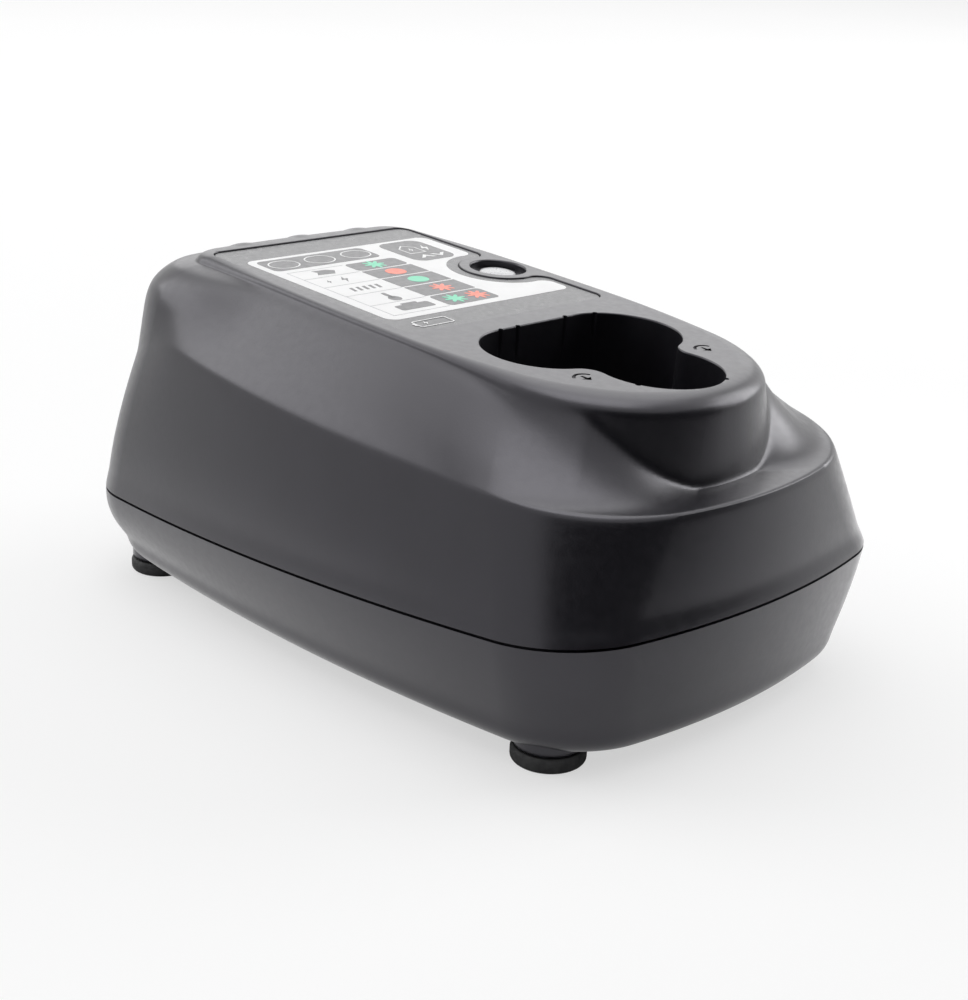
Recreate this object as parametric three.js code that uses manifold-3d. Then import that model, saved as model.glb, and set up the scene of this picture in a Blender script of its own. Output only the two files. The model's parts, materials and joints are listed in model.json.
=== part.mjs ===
// Desktop charger for slide-in battery packs: a tapered base tub on four rubber feet and a bulged
// top cover with an inclined top face, a three-lobed battery socket in a collar, and a lamp window.
// Millimetres, +Z up, +X to the right as seen from the front, the front faces -Y.
// The origin is the middle of the footprint, on the surface that the feet stand on.
import * as THREE from "three";
import { mergeVertices } from "three/addons/utils/BufferGeometryUtils.js";
import Module from "manifold-3d";

const wasm = await Module();
wasm.setup();

// Sizes that pieces share
const fit = 0.3;
const overrun = 4;
const wall = 2.4;

// Case outline at the parting line, which falls towards the rear
const caseWidth = 97.6;
const caseLength = 145.2;
const caseSideRadius = 420;
const caseEndRadius = 138;
const caseCorner = 20;
const seamHeight = 21.8;
const seamSlope = -0.0486;
const seamGap = 0.5;

// Base tub: its wall leans in to a rounded under-edge
const underHeight = 3.3;
const underRadius = 5;
const baseSideLean = 4.6;
const baseEndLean = 3;
const baseCorner = 19;
const baseRearCorner = 15;
const baseWaistShare = 0.42;

// Shoulder crease of the cover
const shoulderHeight = 48.6;
const shoulderSideInset = 5.1;
const shoulderEndInset = 3.1;
const shoulderSideRadius = 300;
const shoulderEndRadius = 91;
const shoulderFrontCorner = 28;
const shoulderRearCorner = 24.5;
const shoulderRearDrop = 9;
const shoulderDropLength = 33;

// Inclined top face and its rim
const topHeight = 62.87;
const topSlope = 0.0735;
const topWidth = 57.8;
const topFrontReach = 60.9;
const topRearReach = 53.9;
const topSideRadius = 900;
const topFrontRadius = 60;
const topFrontCorner = 28;
const topRearRadius = 260;
const topRearCorner = 6;
const rimSideWidth = 1.2;
const rimFrontWidth = 4.6;
const rimRearWidth = 4.2;
const rimSideDrop = 0.9;
const rimFrontDrop = 2.9;
const rimRearDrop = 1.9;

// Angles round the collar's centre, from straight ahead. The scoop's edge runs from its foot angle
// at the shoulder to its rim angle at the collar; the collar's round edge fades between two angles.
const collarBack = 33;
const scoopFootAngle = THREE.MathUtils.degToRad(12);
const scoopRimAngle = THREE.MathUtils.degToRad(60);
const scoopEase = THREE.MathUtils.degToRad(12);
const rimInnerAngle = THREE.MathUtils.degToRad(50);
const rimOuterAngle = THREE.MathUtils.degToRad(100);

// Shares of the way from the parting line to the shoulder, and the powers of the lean along it
const bulgeShares = [0.16, 0.38, 0.6, 0.8, 0.94];
const bulgeFrontPowerShare = 1.12;
const bulgeSidePowerShare = 1.5;
const bulgeRearPowerShare = 1.9;

// Shares of the way from the shoulder to the rim: inward, and up, for side, front and rear
const flankSideInShares = [0.1, 0.28, 0.48, 0.68, 0.85, 0.95];
const flankSideUpShares = [0.13, 0.33, 0.53, 0.72, 0.875, 0.955];
const flankFrontInShares = [0.26, 0.52, 0.74, 0.9, 0.975, 1.0];
const flankFrontUpShares = [0.0, 0.01, 0.045, 0.17, 0.46, 0.76];
const flankRearInShares = [0.04, 0.1, 0.17, 0.31, 0.6, 0.86];
const flankRearUpShares = [0.16, 0.4, 0.63, 0.81, 0.95, 0.99];
const rimMiddleInShare = 0.42;
const rimMiddleUpShare = 0.72;

// Grip ribs over the rear top edge
const ribPitch = 15;
const ribWidth = 5;
const ribRise = 0.45;
const ribStart = 50;

// Battery socket: one lobe to the front and two behind it
const lobeRadius = 11.37;
const lobeSpread = 9.83;
const lobeFrontY = -45.3;
const lobeRearY = -27.8;
const cuspRadius = 4;
const throatWall = 2.2;
const throatBottom = 39;
const wellWall = 1.8;
const wellFloor = 12;

// Label film in its recess, which goes round the lamp's ring
const filmWidth = 50.6;
const filmFront = -10.5;
const filmRear = 48;
const filmCorner = 2.5;
const filmThickness = 0.35;
const filmRecess = 0.9;
const lampX = 20.9;
const lampY = 14.4;
const lampRing = 8;
const lampFillet = 3;

// Lamp window
const lampWell = 5.5;
const lampWellDepth = 1.4;
const lensRadius = 3.7;
const lensFlange = 5;
const lensFlangeThickness = 1.2;
const lensDomeDepth = 0.5;
const guideRadius = 3.3;

// Feet
const footRadius = 6.4;
const footHeight = 2.7;
const footEdge = 0.9;
const footStem = 2.4;
const footStemLength = 3.6;
const footBossRadius = 6.1;
const footBossHeight = 8.6;
const footSideInset = 16.4;
const footFrontInset = 18.8;
const footRearInset = 16.6;

// Case screws and their columns
const screwSideInset = 12.6;
const screwFrontInset = 41;
const screwRearInset = 34;
const screwRadius = 1.5;
const screwHeadRadius = 2.9;
const screwHeadHeight = 2;
const screwLength = 24;
const screwHeadDepth = 6.5;
const columnRadius = 4.2;
const slotLengthShare = 0.62;
const slotWidthShare = 0.14;

// Bare rating plate under the base
const plateWidth = 46;
const plateLength = 26;
const plateThickness = 0.4;
const plateRecess = 0.8;
const plateCorner = 2;

// Mains inlet, held between the two halves at the rear
const inletWidth = 23;
const inletHeight = 12.6;
const inletDepth = 17;
const inletSetBack = 0.7;
const inletFlange = 2;
const inletFlangeThickness = 2;
const inletLobe = 3.8;
const inletLobePitch = 7.2;
const inletHollow = 12.5;
const inletWebShare = 0.8;
const inletPinRadius = 1.2;
const inletPinPitch = 8.6;
const inletPinReach = 10;
const inletPinTail = 3.4;
const shelfThickness = 2;

// Circuit board
const boardWidth = 62;
const boardLength = 58;
const boardThickness = 1.6;
const boardFront = -8;
const boardStand = 5;
const standRadius = 3;
const boardScrewRadius = 1.2;
const boardScrewHead = 2.5;
const boardScrewHeadHeight = 1.5;
const boardScrewLength = 5.5;
const boardScrewInset = 3.2;
const partGap = 1;

// Components on the board
const coreWidth = 32;
const coreDepth = 12;
const coreHeight = 23;
const coreBar = 4.2;
const coreLeg = 8;
const windingInner = 6.1;
const windingOuter = 10.5;
const bulkRadius = 8;
const bulkHeight = 26;
const outputRadius = 4.1;
const outputHeight = 16;
const capEdge = 0.8;
const capCrimpShares = [0.1, 0.13, 0.16];
const chokeRing = 4.6;
const chokeTube = 2.1;
const chokeThickness = 6.5;
const fuseRadius = 2.5;
const fuseLength = 15;
const fuseCapLength = 3.5;
const suppressorWidth = 13;
const suppressorDepth = 6;
const suppressorHeight = 11;
const bridgeWidth = 15;
const bridgeDepth = 4;
const bridgeHeight = 11;
const tabWidth = 10;
const tabThickness = 4.5;
const tabHeight = 15;
const sinkThickness = 1.5;
const sinkHeight = 24;
const sinkLength = 20;
const chipWidth = 10;
const chipDepth = 7;
const chipHeight = 3.4;
const couplerWidth = 4.4;
const ledRadius = 1.4;
const ledHeight = 4.4;

// Contacts at the floor of the well
const carrierWidth = 18;
const carrierDepth = 7;
const carrierHeight = 7;
const carrierFlange = 2;
const carrierFlangeThickness = 1.6;
const bladePitch = 6;
const bladeThickness = 0.8;
const bladeWidth = 5;
const bladeHeight = 13;
const bladeTail = 2;
const postRadius = 3;

// Leads
const mainsLeadRadius = 1.1;
const outputLeadRadius = 0.9;
const leadClear = 1.4;
const leadRiseShares = [0.8, 0.35];

// Steps along each stretch of an outline
const sideSteps = 4;
const cornerSteps = 7;
const endSteps = 3;
const roundSteps = 20;
const smallSteps = 12;
const leadSteps = 4;
const domeSteps = 4;
const chokeSteps = 8;

const halfWidth = caseWidth / 2;
const halfLength = caseLength / 2;
const underside = underHeight;
const floorTop = underHeight + wall;

// Heights of the parting line and of the top face at a place along the case
const seamAt = (y) => seamHeight + seamSlope * y;
const topAt = (y) => topHeight + topSlope * y;
const topAngle = Math.atan(topSlope);

function smooth(low, high, value) {
  return THREE.MathUtils.smoothstep(value, low, high);
}

function shoulderAt(y) {
  const dropStart = halfLength - shoulderEndInset - shoulderDropLength;
  const drop = shoulderRearDrop * smooth(dropStart, dropStart + shoulderDropLength, y);
  return shoulderHeight + topSlope * y - drop;
}

// A quarter of an oval, from the middle of its side to the middle of its end: a flat side arc,
// a corner arc and a flat end arc, each running smoothly into the next.
function quarter(half, reach, sideRadius, endRadius, corner) {
  const side = new THREE.Vector2(half - sideRadius, 0);
  const end = new THREE.Vector2(0, reach - endRadius);
  const fromSide = sideRadius - corner;
  const fromEnd = endRadius - corner;
  const apart = side.distanceTo(end);
  const along = (fromSide ** 2 - fromEnd ** 2 + apart ** 2) / (2 * apart);
  const across = Math.sqrt(Math.max(fromSide ** 2 - along ** 2, 0));
  const toEnd = end.clone().sub(side).normalize();
  const middle = side.clone().addScaledVector(toEnd, along);
  middle.add(new THREE.Vector2(-toEnd.y, toEnd.x).multiplyScalar(across));
  const sideTurn = Math.atan2(middle.y - side.y, middle.x - side.x);
  const endTurn = Math.atan2(middle.y - end.y, middle.x - end.x);
  const points = [];
  const arc = (centre, radius, from, to, steps) => {
    for (let i = 0; i < steps; i++) {
      const turn = from + ((to - from) * i) / steps;
      points.push([centre.x + radius * Math.cos(turn), centre.y + radius * Math.sin(turn)]);
    }
  };
  arc(side, sideRadius, 0, sideTurn, sideSteps);
  arc(middle, corner, sideTurn, endTurn, cornerSteps);
  arc(end, endRadius, endTurn, Math.PI / 2, endSteps);
  points.push([0, reach]);
  return points;
}

// A whole outline, counter-clockwise from the right-hand side, made of four quarters
function outline(o) {
  const rear = quarter(o.half, o.rear, o.sideRadius, o.rearRadius, o.rearCorner);
  const front = quarter(o.half, o.front, o.sideRadius, o.frontRadius, o.frontCorner);
  const ring = [];
  rear.forEach(([x, y]) => ring.push([x, y]));
  [...rear].reverse().slice(1).forEach(([x, y]) => ring.push([-x, y]));
  front.slice(1).forEach(([x, y]) => ring.push([-x, -y]));
  [...front].reverse().slice(1, -1).forEach(([x, y]) => ring.push([x, -y]));
  return ring;
}

// The case's own outlines, drawn in by a distance: at the parting line, the shoulder and the rim
function seamOutline(inset, sideLean = 0, endLean = 0, corner = caseCorner, rearCorner = corner) {
  return outline({
    half: halfWidth - inset - sideLean,
    front: halfLength - inset - endLean,
    rear: halfLength - inset - endLean,
    sideRadius: caseSideRadius,
    frontRadius: caseEndRadius,
    rearRadius: caseEndRadius,
    frontCorner: corner - inset,
    rearCorner: rearCorner - inset,
  });
}

function shoulderOutline(inset) {
  const reach = halfLength - shoulderEndInset - inset;
  return outline({
    half: halfWidth - shoulderSideInset - inset,
    front: reach,
    rear: reach,
    sideRadius: shoulderSideRadius,
    frontRadius: shoulderEndRadius,
    rearRadius: caseEndRadius,
    frontCorner: shoulderFrontCorner - inset,
    rearCorner: shoulderRearCorner - inset,
  });
}

function rimOutline(inset) {
  return outline({
    half: topWidth / 2 - inset,
    front: topFrontReach - inset,
    rear: topRearReach - inset,
    sideRadius: topSideRadius,
    frontRadius: topFrontRadius - inset,
    rearRadius: topRearRadius,
    frontCorner: topFrontCorner - inset,
    rearCorner: Math.max(topRearCorner - inset, fit),
  });
}

// Closed mesh through rings of equal count, listed from the bottom up, with a fan over each end
function loft(rings) {
  const count = rings[0].length;
  const position = [];
  const index = [];
  rings.forEach((ring) => ring.forEach((p) => position.push(...p)));
  for (let r = 0; r + 1 < rings.length; r++)
    for (let i = 0; i < count; i++) {
      const a = r * count + i;
      const b = r * count + ((i + 1) % count);
      index.push(a, b, b + count, a, b + count, a + count);
    }
  const centre = (ring) => ring[0].map((_, k) => ring.reduce((sum, p) => sum + p[k], 0) / count);
  const low = position.length / 3;
  position.push(...centre(rings[0]));
  const high = position.length / 3;
  position.push(...centre(rings[rings.length - 1]));
  const last = (rings.length - 1) * count;
  for (let i = 0; i < count; i++) {
    const next = (i + 1) % count;
    index.push(low, next, i);
    index.push(high, last + i, last + next);
  }
  const geometry = new THREE.BufferGeometry();
  geometry.setAttribute("position", new THREE.Float32BufferAttribute(position, 3));
  geometry.setIndex(index);
  return geometry;
}

// A closed geometry as a solid that can be joined and cut, and back
function solid(geometry) {
  const bare = geometry.clone();
  bare.deleteAttribute("normal");
  bare.deleteAttribute("uv");
  const merged = mergeVertices(bare);
  return new wasm.Manifold(
    new wasm.Mesh({
      numProp: 3,
      vertProperties: new Float32Array(merged.attributes.position.array),
      triVerts: new Uint32Array(merged.index.array),
    }),
  );
}

function geometryOf(body) {
  const mesh = body.getMesh();
  const geometry = new THREE.BufferGeometry();
  geometry.setAttribute("position", new THREE.BufferAttribute(mesh.vertProperties, 3));
  geometry.setIndex(new THREE.BufferAttribute(mesh.triVerts, 1));
  geometry.computeVertexNormals();
  return geometry;
}

const join = (bodies) => bodies.reduce((sum, body) => sum.add(body));
const cut = (body, cutters) => cutters.reduce((rest, cutter) => rest.subtract(cutter), body);

// A box between two corners
function block(low, high) {
  const size = high.map((v, k) => v - low[k]);
  const geometry = new THREE.BoxGeometry(...size);
  geometry.translate(...low.map((v, k) => v + size[k] / 2));
  return geometry;
}

// An upright cylinder or cone frustum on a place, from a lower to an upper height
function upright(x, y, low, high, radius, topRadius = radius, steps = roundSteps) {
  const geometry = new THREE.CylinderGeometry(topRadius, radius, high - low, steps);
  geometry.rotateX(Math.PI / 2);
  geometry.translate(x, y, (low + high) / 2);
  return geometry;
}

// A turned piece: pairs of radius and height, on a place
function turned(x, y, z, profile, steps = roundSteps) {
  const points = profile.map(([radius, height]) => new THREE.Vector2(radius, height));
  const geometry = new THREE.LatheGeometry(points, steps);
  geometry.rotateX(Math.PI / 2);
  geometry.translate(x, y, z);
  return geometry;
}

function prism(shape, low, high, steps = cornerSteps) {
  const geometry = new THREE.ExtrudeGeometry(shape, {
    depth: high - low,
    bevelEnabled: false,
    curveSegments: steps,
  });
  geometry.translate(0, 0, low);
  return geometry;
}

// Lays a geometry that was drawn flat at zero height into the inclined top face
function onTop(geometry) {
  geometry.rotateX(topAngle);
  geometry.translate(0, 0, topHeight);
  return geometry;
}

function roundedRectangle(left, right, front, rear, radius) {
  const shape = new THREE.Shape();
  shape.absarc(right - radius, front + radius, radius, -Math.PI / 2, 0);
  shape.absarc(right - radius, rear - radius, radius, 0, Math.PI / 2);
  shape.absarc(left + radius, rear - radius, radius, Math.PI / 2, Math.PI);
  shape.absarc(left + radius, front + radius, radius, Math.PI, (3 * Math.PI) / 2);
  shape.closePath();
  return shape;
}

// The socket's outline, grown by a distance: three lobes, eased cusps and a flat back
function socketShape(grow) {
  const lobe = lobeRadius + grow;
  const cusp = cuspRadius - grow;
  const half = Math.hypot(lobeSpread, lobeRearY - lobeFrontY) / 2;
  const out = Math.sqrt((lobe + cusp) ** 2 - half ** 2);
  const turn = Math.atan2(lobeSpread, lobeRearY - lobeFrontY);
  const cuspX = lobeSpread / 2 + out * Math.cos(turn);
  const cuspY = (lobeFrontY + lobeRearY) / 2 - out * Math.sin(turn);
  const toFront = Math.atan2(cuspY - lobeFrontY, cuspX);
  const toRear = Math.atan2(cuspY - lobeRearY, cuspX - lobeSpread);
  const shape = new THREE.Shape();
  shape.absarc(0, lobeFrontY, lobe, -Math.PI - toFront, toFront);
  shape.absarc(cuspX, cuspY, cusp, Math.PI + toFront, Math.PI + toRear, true);
  shape.absarc(lobeSpread, lobeRearY, lobe, toRear, Math.PI / 2);
  shape.absarc(-lobeSpread, lobeRearY, lobe, Math.PI / 2, Math.PI - toRear);
  shape.absarc(-cuspX, cuspY, cusp, -toRear, -toFront, true);
  shape.closePath();
  return shape;
}

// The film's outline, grown by a distance, with its bay round the lamp's ring
function filmShape(grow) {
  const right = filmWidth / 2 + grow;
  const corner = filmCorner + grow;
  const ring = lampRing - grow;
  const fillet = lampFillet + grow;
  const filletX = right - fillet;
  const rise = Math.sqrt((ring + fillet) ** 2 - (lampX - filletX) ** 2);
  const turn = Math.atan2(rise, lampX - filletX);
  const front = filmFront - grow;
  const rear = filmRear + grow;
  const shape = new THREE.Shape();
  shape.absarc(right - corner, front + corner, corner, -Math.PI / 2, 0);
  shape.absarc(filletX, lampY - rise, fillet, 0, turn);
  shape.absarc(lampX, lampY, ring, Math.PI + turn, Math.PI - turn, true);
  shape.absarc(filletX, lampY + rise, fillet, -turn, 0);
  shape.absarc(right - corner, rear - corner, corner, 0, Math.PI / 2);
  shape.absarc(-right + corner, rear - corner, corner, Math.PI / 2, Math.PI);
  shape.absarc(-right + corner, front + corner, corner, Math.PI, (3 * Math.PI) / 2);
  shape.closePath();
  return shape;
}

// How far a place on the rim belongs to the collar's front, between two angles, from 0 to 1
function frontAt([x, y], inner, outer) {
  const angle = Math.atan2(Math.abs(x), -(y + collarBack));
  return 1 - smooth(inner, outer, angle);
}

function scoopAt(place, share) {
  const edge = scoopFootAngle + (scoopRimAngle - scoopFootAngle) * share;
  return frontAt(place, edge - scoopEase, edge + scoopEase);
}

const easeAt = (place) => frontAt(place, rimInnerAngle, rimOuterAngle);

// The cover's skin, drawn in by a distance. A negative distance makes a skin that stands proud.
function coverSkin(inset, bottomLift) {
  const seam = seamOutline(inset);
  const shoulder = shoulderOutline(inset);
  const rim = rimOutline(inset);
  const rings = [];
  const lean = (i) => {
    const y = seam[i][1];
    const front = smooth(0, halfLength, -y);
    const rear = smooth(0, halfLength, y);
    return (
      bulgeSidePowerShare +
      front * (bulgeFrontPowerShare - bulgeSidePowerShare) +
      rear * (bulgeRearPowerShare - bulgeSidePowerShare)
    );
  };
  rings.push(seam.map(([x, y]) => [x, y, seamAt(y) + bottomLift]));
  bulgeShares.concat(1).forEach((up) => {
    rings.push(
      seam.map(([x, y], i) => {
        const share = up ** lean(i);
        const [a, b] = shoulder[i];
        const low = seamAt(y);
        const px = x + (a - x) * share;
        const py = y + (b - y) * share;
        return [px, py, low + (shoulderAt(b) - inset - low) * up];
      }),
    );
  });
  flankSideInShares.concat(1).forEach((_, k, all) => {
    rings.push(
      shoulder.map(([x, y], i) => {
        const [a, b] = rim[i];
        const scoop = scoopAt(rim[i], (k + 1) / all.length);
        const rear = smooth(halfLength / 3, halfLength - caseCorner / 2, seam[i][1]);
        const pick = (side, front, back) => {
          const base = (side[k] ?? 1) * (1 - rear) + (back[k] ?? 1) * rear;
          return base * (1 - scoop) + (front[k] ?? 1) * scoop;
        };
        const inward = pick(flankSideInShares, flankFrontInShares, flankRearInShares);
        const up = pick(flankSideUpShares, flankFrontUpShares, flankRearUpShares);
        const drop = rimDropAt(easeAt(rim[i]), rear);
        const low = shoulderAt(y) - inset;
        const high = topAt(b) - inset - drop;
        return [x + (a - x) * inward, y + (b - y) * inward, low + (high - low) * up];
      }),
    );
  });
  const flat = rimOutline(inset).map((p, i) => {
    const front = easeAt(p);
    const rear = smooth(halfLength / 3, halfLength - caseCorner / 2, seam[i][1]);
    const width = rimWidthAt(front, rear);
    const middle = THREE.MathUtils.clamp(p[1], -collarBack, topRearReach - collarBack);
    const inward = new THREE.Vector2(-p[0], middle - p[1]).setLength(width);
    return [p[0] + inward.x, p[1] + inward.y, rimDropAt(front, rear)];
  });
  [rimMiddleInShare, 1].forEach((inward, k) => {
    const up = k ? 1 : rimMiddleUpShare;
    rings.push(
      rim.map(([x, y], i) => {
        const [a, b, drop] = flat[i];
        const py = y + (b - y) * inward;
        return [x + (a - x) * inward, py, topAt(py) - inset - drop * (1 - up)];
      }),
    );
  });
  return loft(rings);
}

function rimWidthAt(front, rear) {
  const base = rimSideWidth * (1 - rear) + rimRearWidth * rear;
  return base * (1 - front) + rimFrontWidth * front;
}

function rimDropAt(front, rear) {
  const base = rimSideDrop * (1 - rear) + rimRearDrop * rear;
  return base * (1 - front) + rimFrontDrop * front;
}

// The base's skin, drawn in by a distance, from its underside up to the parting line
function baseSkin(inset, topLift) {
  const underAngles = [Math.PI / 2, Math.PI / 3, Math.PI / 6, 0];
  const radius = underRadius;
  const centre = underside + underRadius;
  const rings = underAngles.map((turn) => {
    const back = radius * (1 - Math.cos(turn));
    const height = centre - (radius - inset) * Math.sin(turn);
    const corners = [baseCorner - back / 2, baseRearCorner - back / 2];
    const ring = seamOutline(inset, baseSideLean + back, baseEndLean + back, ...corners);
    return ring.map(([x, y]) => [x, y, height]);
  });
  const middle = seamOutline(inset, baseSideLean * baseWaistShare, baseEndLean * baseWaistShare);
  rings.push(middle.map(([x, y]) => [x, y, (centre + seamAt(y)) / 2]));
  rings.push(seamOutline(inset).map(([x, y]) => [x, y, seamAt(y) + topLift]));
  return loft(rings);
}

// Where the feet, the case screws and the board's screws stand
const footPlaces = {
  front_left: [-(halfWidth - footSideInset), -(halfLength - footFrontInset)],
  front_right: [halfWidth - footSideInset, -(halfLength - footFrontInset)],
  rear_left: [-(halfWidth - footSideInset), halfLength - footRearInset],
  rear_right: [halfWidth - footSideInset, halfLength - footRearInset],
};
const screwX = halfWidth - screwSideInset;
const screwPlaces = [
  [-screwX, -(halfLength - screwFrontInset)],
  [screwX, -(halfLength - screwFrontInset)],
  [-screwX, halfLength - screwRearInset],
  [screwX, halfLength - screwRearInset],
];
const boardLeft = -boardWidth / 2;
const boardRight = boardWidth / 2;
const boardRear = boardFront + boardLength;
const boardBottom = floorTop + boardStand + fit;
const boardTop = boardBottom + boardThickness;
const seat = boardTop + fit;
const boardScrewPlaces = [
  [boardLeft + boardScrewInset, boardFront + boardScrewInset],
  [boardRight - boardScrewInset, boardFront + boardLength / 2],
  [boardLeft + boardScrewInset, boardRear - boardLength / 4],
  [boardRight - boardScrewInset, boardRear - boardScrewInset],
];

// Inlet place: in the rear wall, centred on the parting line
const inletZ = seamAt(halfLength);
const inletFace = halfLength - inletSetBack;
const inletBack = inletFace - inletDepth;
const flangeFace = halfLength - baseEndLean - underRadius / 4 - wall - fit;

function inletHole(grow) {
  const half = inletWidth / 2 + grow;
  const high = inletHeight / 2 + grow;
  const low = [-half, inletFace - inletDepth / 2, inletZ - high];
  return block(low, [half, halfLength + overrun, inletZ + high]);
}

// Contact places at the floor of the well
const contactY = (lobeFrontY + 2 * lobeRearY) / 3;
const carrierTop = wellFloor + wellWall + carrierFlange;
const carrierBottom = carrierTop - carrierHeight;
const postPlaces = [
  [-lobeSpread - 2 * postRadius, lobeRearY + postRadius],
  [lobeSpread + 2 * postRadius, lobeRearY + postRadius],
  [0, lobeFrontY - postRadius],
];

function makeBaseTub() {
  const outer = solid(baseSkin(0, -seamGap / 2));
  const inner = solid(baseSkin(wall, overrun));
  let body = outer.subtract(inner);
  const added = [];
  Object.values(footPlaces).forEach(([x, y]) => {
    added.push(solid(upright(x, y, underside - fit, footBossHeight, footBossRadius)));
  });
  const columnTop = seamAt(0) - seamGap - overrun;
  screwPlaces.forEach(([x, y]) => {
    added.push(solid(upright(x, y, underside, columnTop, columnRadius)).intersect(outer));
  });
  boardScrewPlaces.forEach(([x, y]) => {
    added.push(solid(upright(x, y, floorTop - fit, floorTop + boardStand, standRadius)));
  });
  postPlaces.forEach(([x, y]) => {
    added.push(solid(upright(x, y, floorTop - fit, wellFloor - fit, postRadius)));
  });
  const shelfTop = inletZ - inletHeight / 2 - fit;
  [-1, 1].forEach((side) => {
    const x = (side * inletWidth) / 4;
    const low = [x - shelfThickness / 2, inletBack + shelfThickness, floorTop - fit];
    const high = [x + shelfThickness / 2, flangeFace - inletFlangeThickness - fit, shelfTop];
    added.push(solid(block(low, high)));
  });
  body = join([body, ...added]);
  const holes = [solid(inletHole(fit))];
  Object.values(footPlaces).forEach(([x, y]) => {
    const top = underside + footStemLength;
    holes.push(solid(upright(x, y, -overrun, top + fit, footStem + fit, footStem + fit, smallSteps)));
  });
  screwPlaces.forEach(([x, y]) => {
    const headTop = underside + screwHeadDepth;
    holes.push(solid(upright(x, y, -overrun, headTop, screwHeadRadius + fit)));
    const bore = screwRadius + fit;
    holes.push(solid(upright(x, y, -overrun, columnTop + overrun, bore, bore, smallSteps)));
  });
  boardScrewPlaces.forEach(([x, y]) => {
    const bore = boardScrewRadius + fit;
    holes.push(solid(upright(x, y, floorTop, floorTop + boardStand + overrun, bore, bore, smallSteps)));
  });
  const plate = roundedRectangle(
    -plateWidth / 2 - fit,
    plateWidth / 2 + fit,
    -plateLength / 2 - fit,
    plateLength / 2 + fit,
    plateCorner,
  );
  holes.push(solid(prism(plate, -overrun, underside + plateRecess)));
  return geometryOf(cut(body, holes));
}

function makeTopCover() {
  const skin = solid(coverSkin(0, seamGap / 2));
  const cavity = solid(coverSkin(wall, -overrun));
  let body = skin.subtract(cavity);
  const throat = solid(prism(socketShape(throatWall), throatBottom, topHeight + overrun));
  const columnFoot = seamAt(0) + overrun;
  const added = [throat.intersect(skin)];
  screwPlaces.forEach(([x, y]) => {
    const column = solid(upright(x, y, columnFoot, shoulderAt(y), columnRadius));
    added.push(column.intersect(skin));
  });
  const proud = solid(coverSkin(-ribRise, overrun));
  [-1, 0, 1].forEach((n) => {
    const x = n * ribPitch;
    const low = [x - ribWidth / 2, ribStart, shoulderAt(halfLength) + ribWidth];
    const high = [x + ribWidth / 2, halfLength + overrun, topHeight + overrun + wall];
    const patch = solid(block(low, high)).intersect(proud).subtract(cavity);
    added.push(patch);
  });
  body = join([body, ...added]);
  const lampTop = onTop(upright(lampX, lampY, -lampWellDepth, overrun, lampWell));
  const lampHole = onTop(upright(lampX, lampY, -wall - overrun, overrun, lensRadius + fit));
  const holes = [
    solid(prism(socketShape(0), throatBottom - overrun, topHeight + overrun)),
    solid(onTop(prism(filmShape(fit), -filmRecess, overrun))),
    solid(lampTop),
    solid(lampHole),
    solid(inletHole(fit)),
  ];
  screwPlaces.forEach(([x, y]) => {
    const bore = screwRadius + fit;
    const end = underside + screwHeadDepth + screwLength + fit;
    holes.push(solid(upright(x, y, columnFoot - overrun, end, bore, bore, smallSteps)));
  });
  return geometryOf(cut(body, holes));
}

function makeSocketWell() {
  const outer = solid(prism(socketShape(wellWall), wellFloor, throatBottom - fit));
  const inner = solid(prism(socketShape(0), wellFloor + wellWall, throatBottom + overrun));
  const half = carrierWidth / 2 + fit;
  const depth = carrierDepth / 2 + fit;
  const low = [-half, contactY - depth, wellFloor - overrun];
  const high = [half, contactY + depth, wellFloor + wellWall + overrun];
  return geometryOf(cut(outer, [inner, solid(block(low, high))]));
}

function bladeX(n) {
  return n * bladePitch;
}

function makeCarrier() {
  const half = carrierWidth / 2;
  const depth = carrierDepth / 2;
  const stem = block(
    [-half, contactY - depth, carrierBottom],
    [half, contactY + depth, carrierTop],
  );
  const under = wellFloor - fit;
  const flange = block(
    [-half - carrierFlange, contactY - depth - carrierFlange, under - carrierFlangeThickness],
    [half + carrierFlange, contactY + depth + carrierFlange, under],
  );
  const slots = [-1, 0, 1].map((n) => {
    const x = bladeX(n);
    const thick = bladeThickness / 2 + fit;
    const wide = bladeWidth / 2 + fit;
    const low = [x - thick, contactY - wide, carrierBottom - overrun];
    return solid(block(low, [x + thick, contactY + wide, carrierTop + overrun]));
  });
  return geometryOf(cut(join([solid(stem), solid(flange)]), slots));
}

// A contact blade with a bevelled tip, standing in its slot
function makeBlade(n) {
  const half = bladeWidth / 2;
  const tip = bladeWidth / 4;
  const low = carrierBottom - bladeTail;
  const high = carrierTop + bladeHeight;
  const shape = new THREE.Shape();
  shape.moveTo(-half, low);
  shape.lineTo(half, low);
  shape.lineTo(half, high - tip);
  shape.lineTo(half - tip, high);
  shape.lineTo(-half + tip, high);
  shape.lineTo(-half, high - tip);
  shape.closePath();
  const geometry = prism(shape, -bladeThickness / 2, bladeThickness / 2);
  geometry.rotateX(Math.PI / 2);
  geometry.rotateZ(Math.PI / 2);
  geometry.translate(bladeX(n), contactY, 0);
  return geometry;
}

function makeFoot(x, y) {
  return turned(x, y, 0, [
    [0, 0],
    [footRadius - footEdge, 0],
    [footRadius - footEdge * (1 - Math.SQRT1_2), footEdge * (1 - Math.SQRT1_2)],
    [footRadius, footEdge],
    [footRadius, footHeight - footEdge / 2],
    [footRadius - footEdge / 2, footHeight],
    [footStem, footHeight],
    [footStem, underside + footStemLength],
    [0, underside + footStemLength],
  ]);
}

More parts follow.
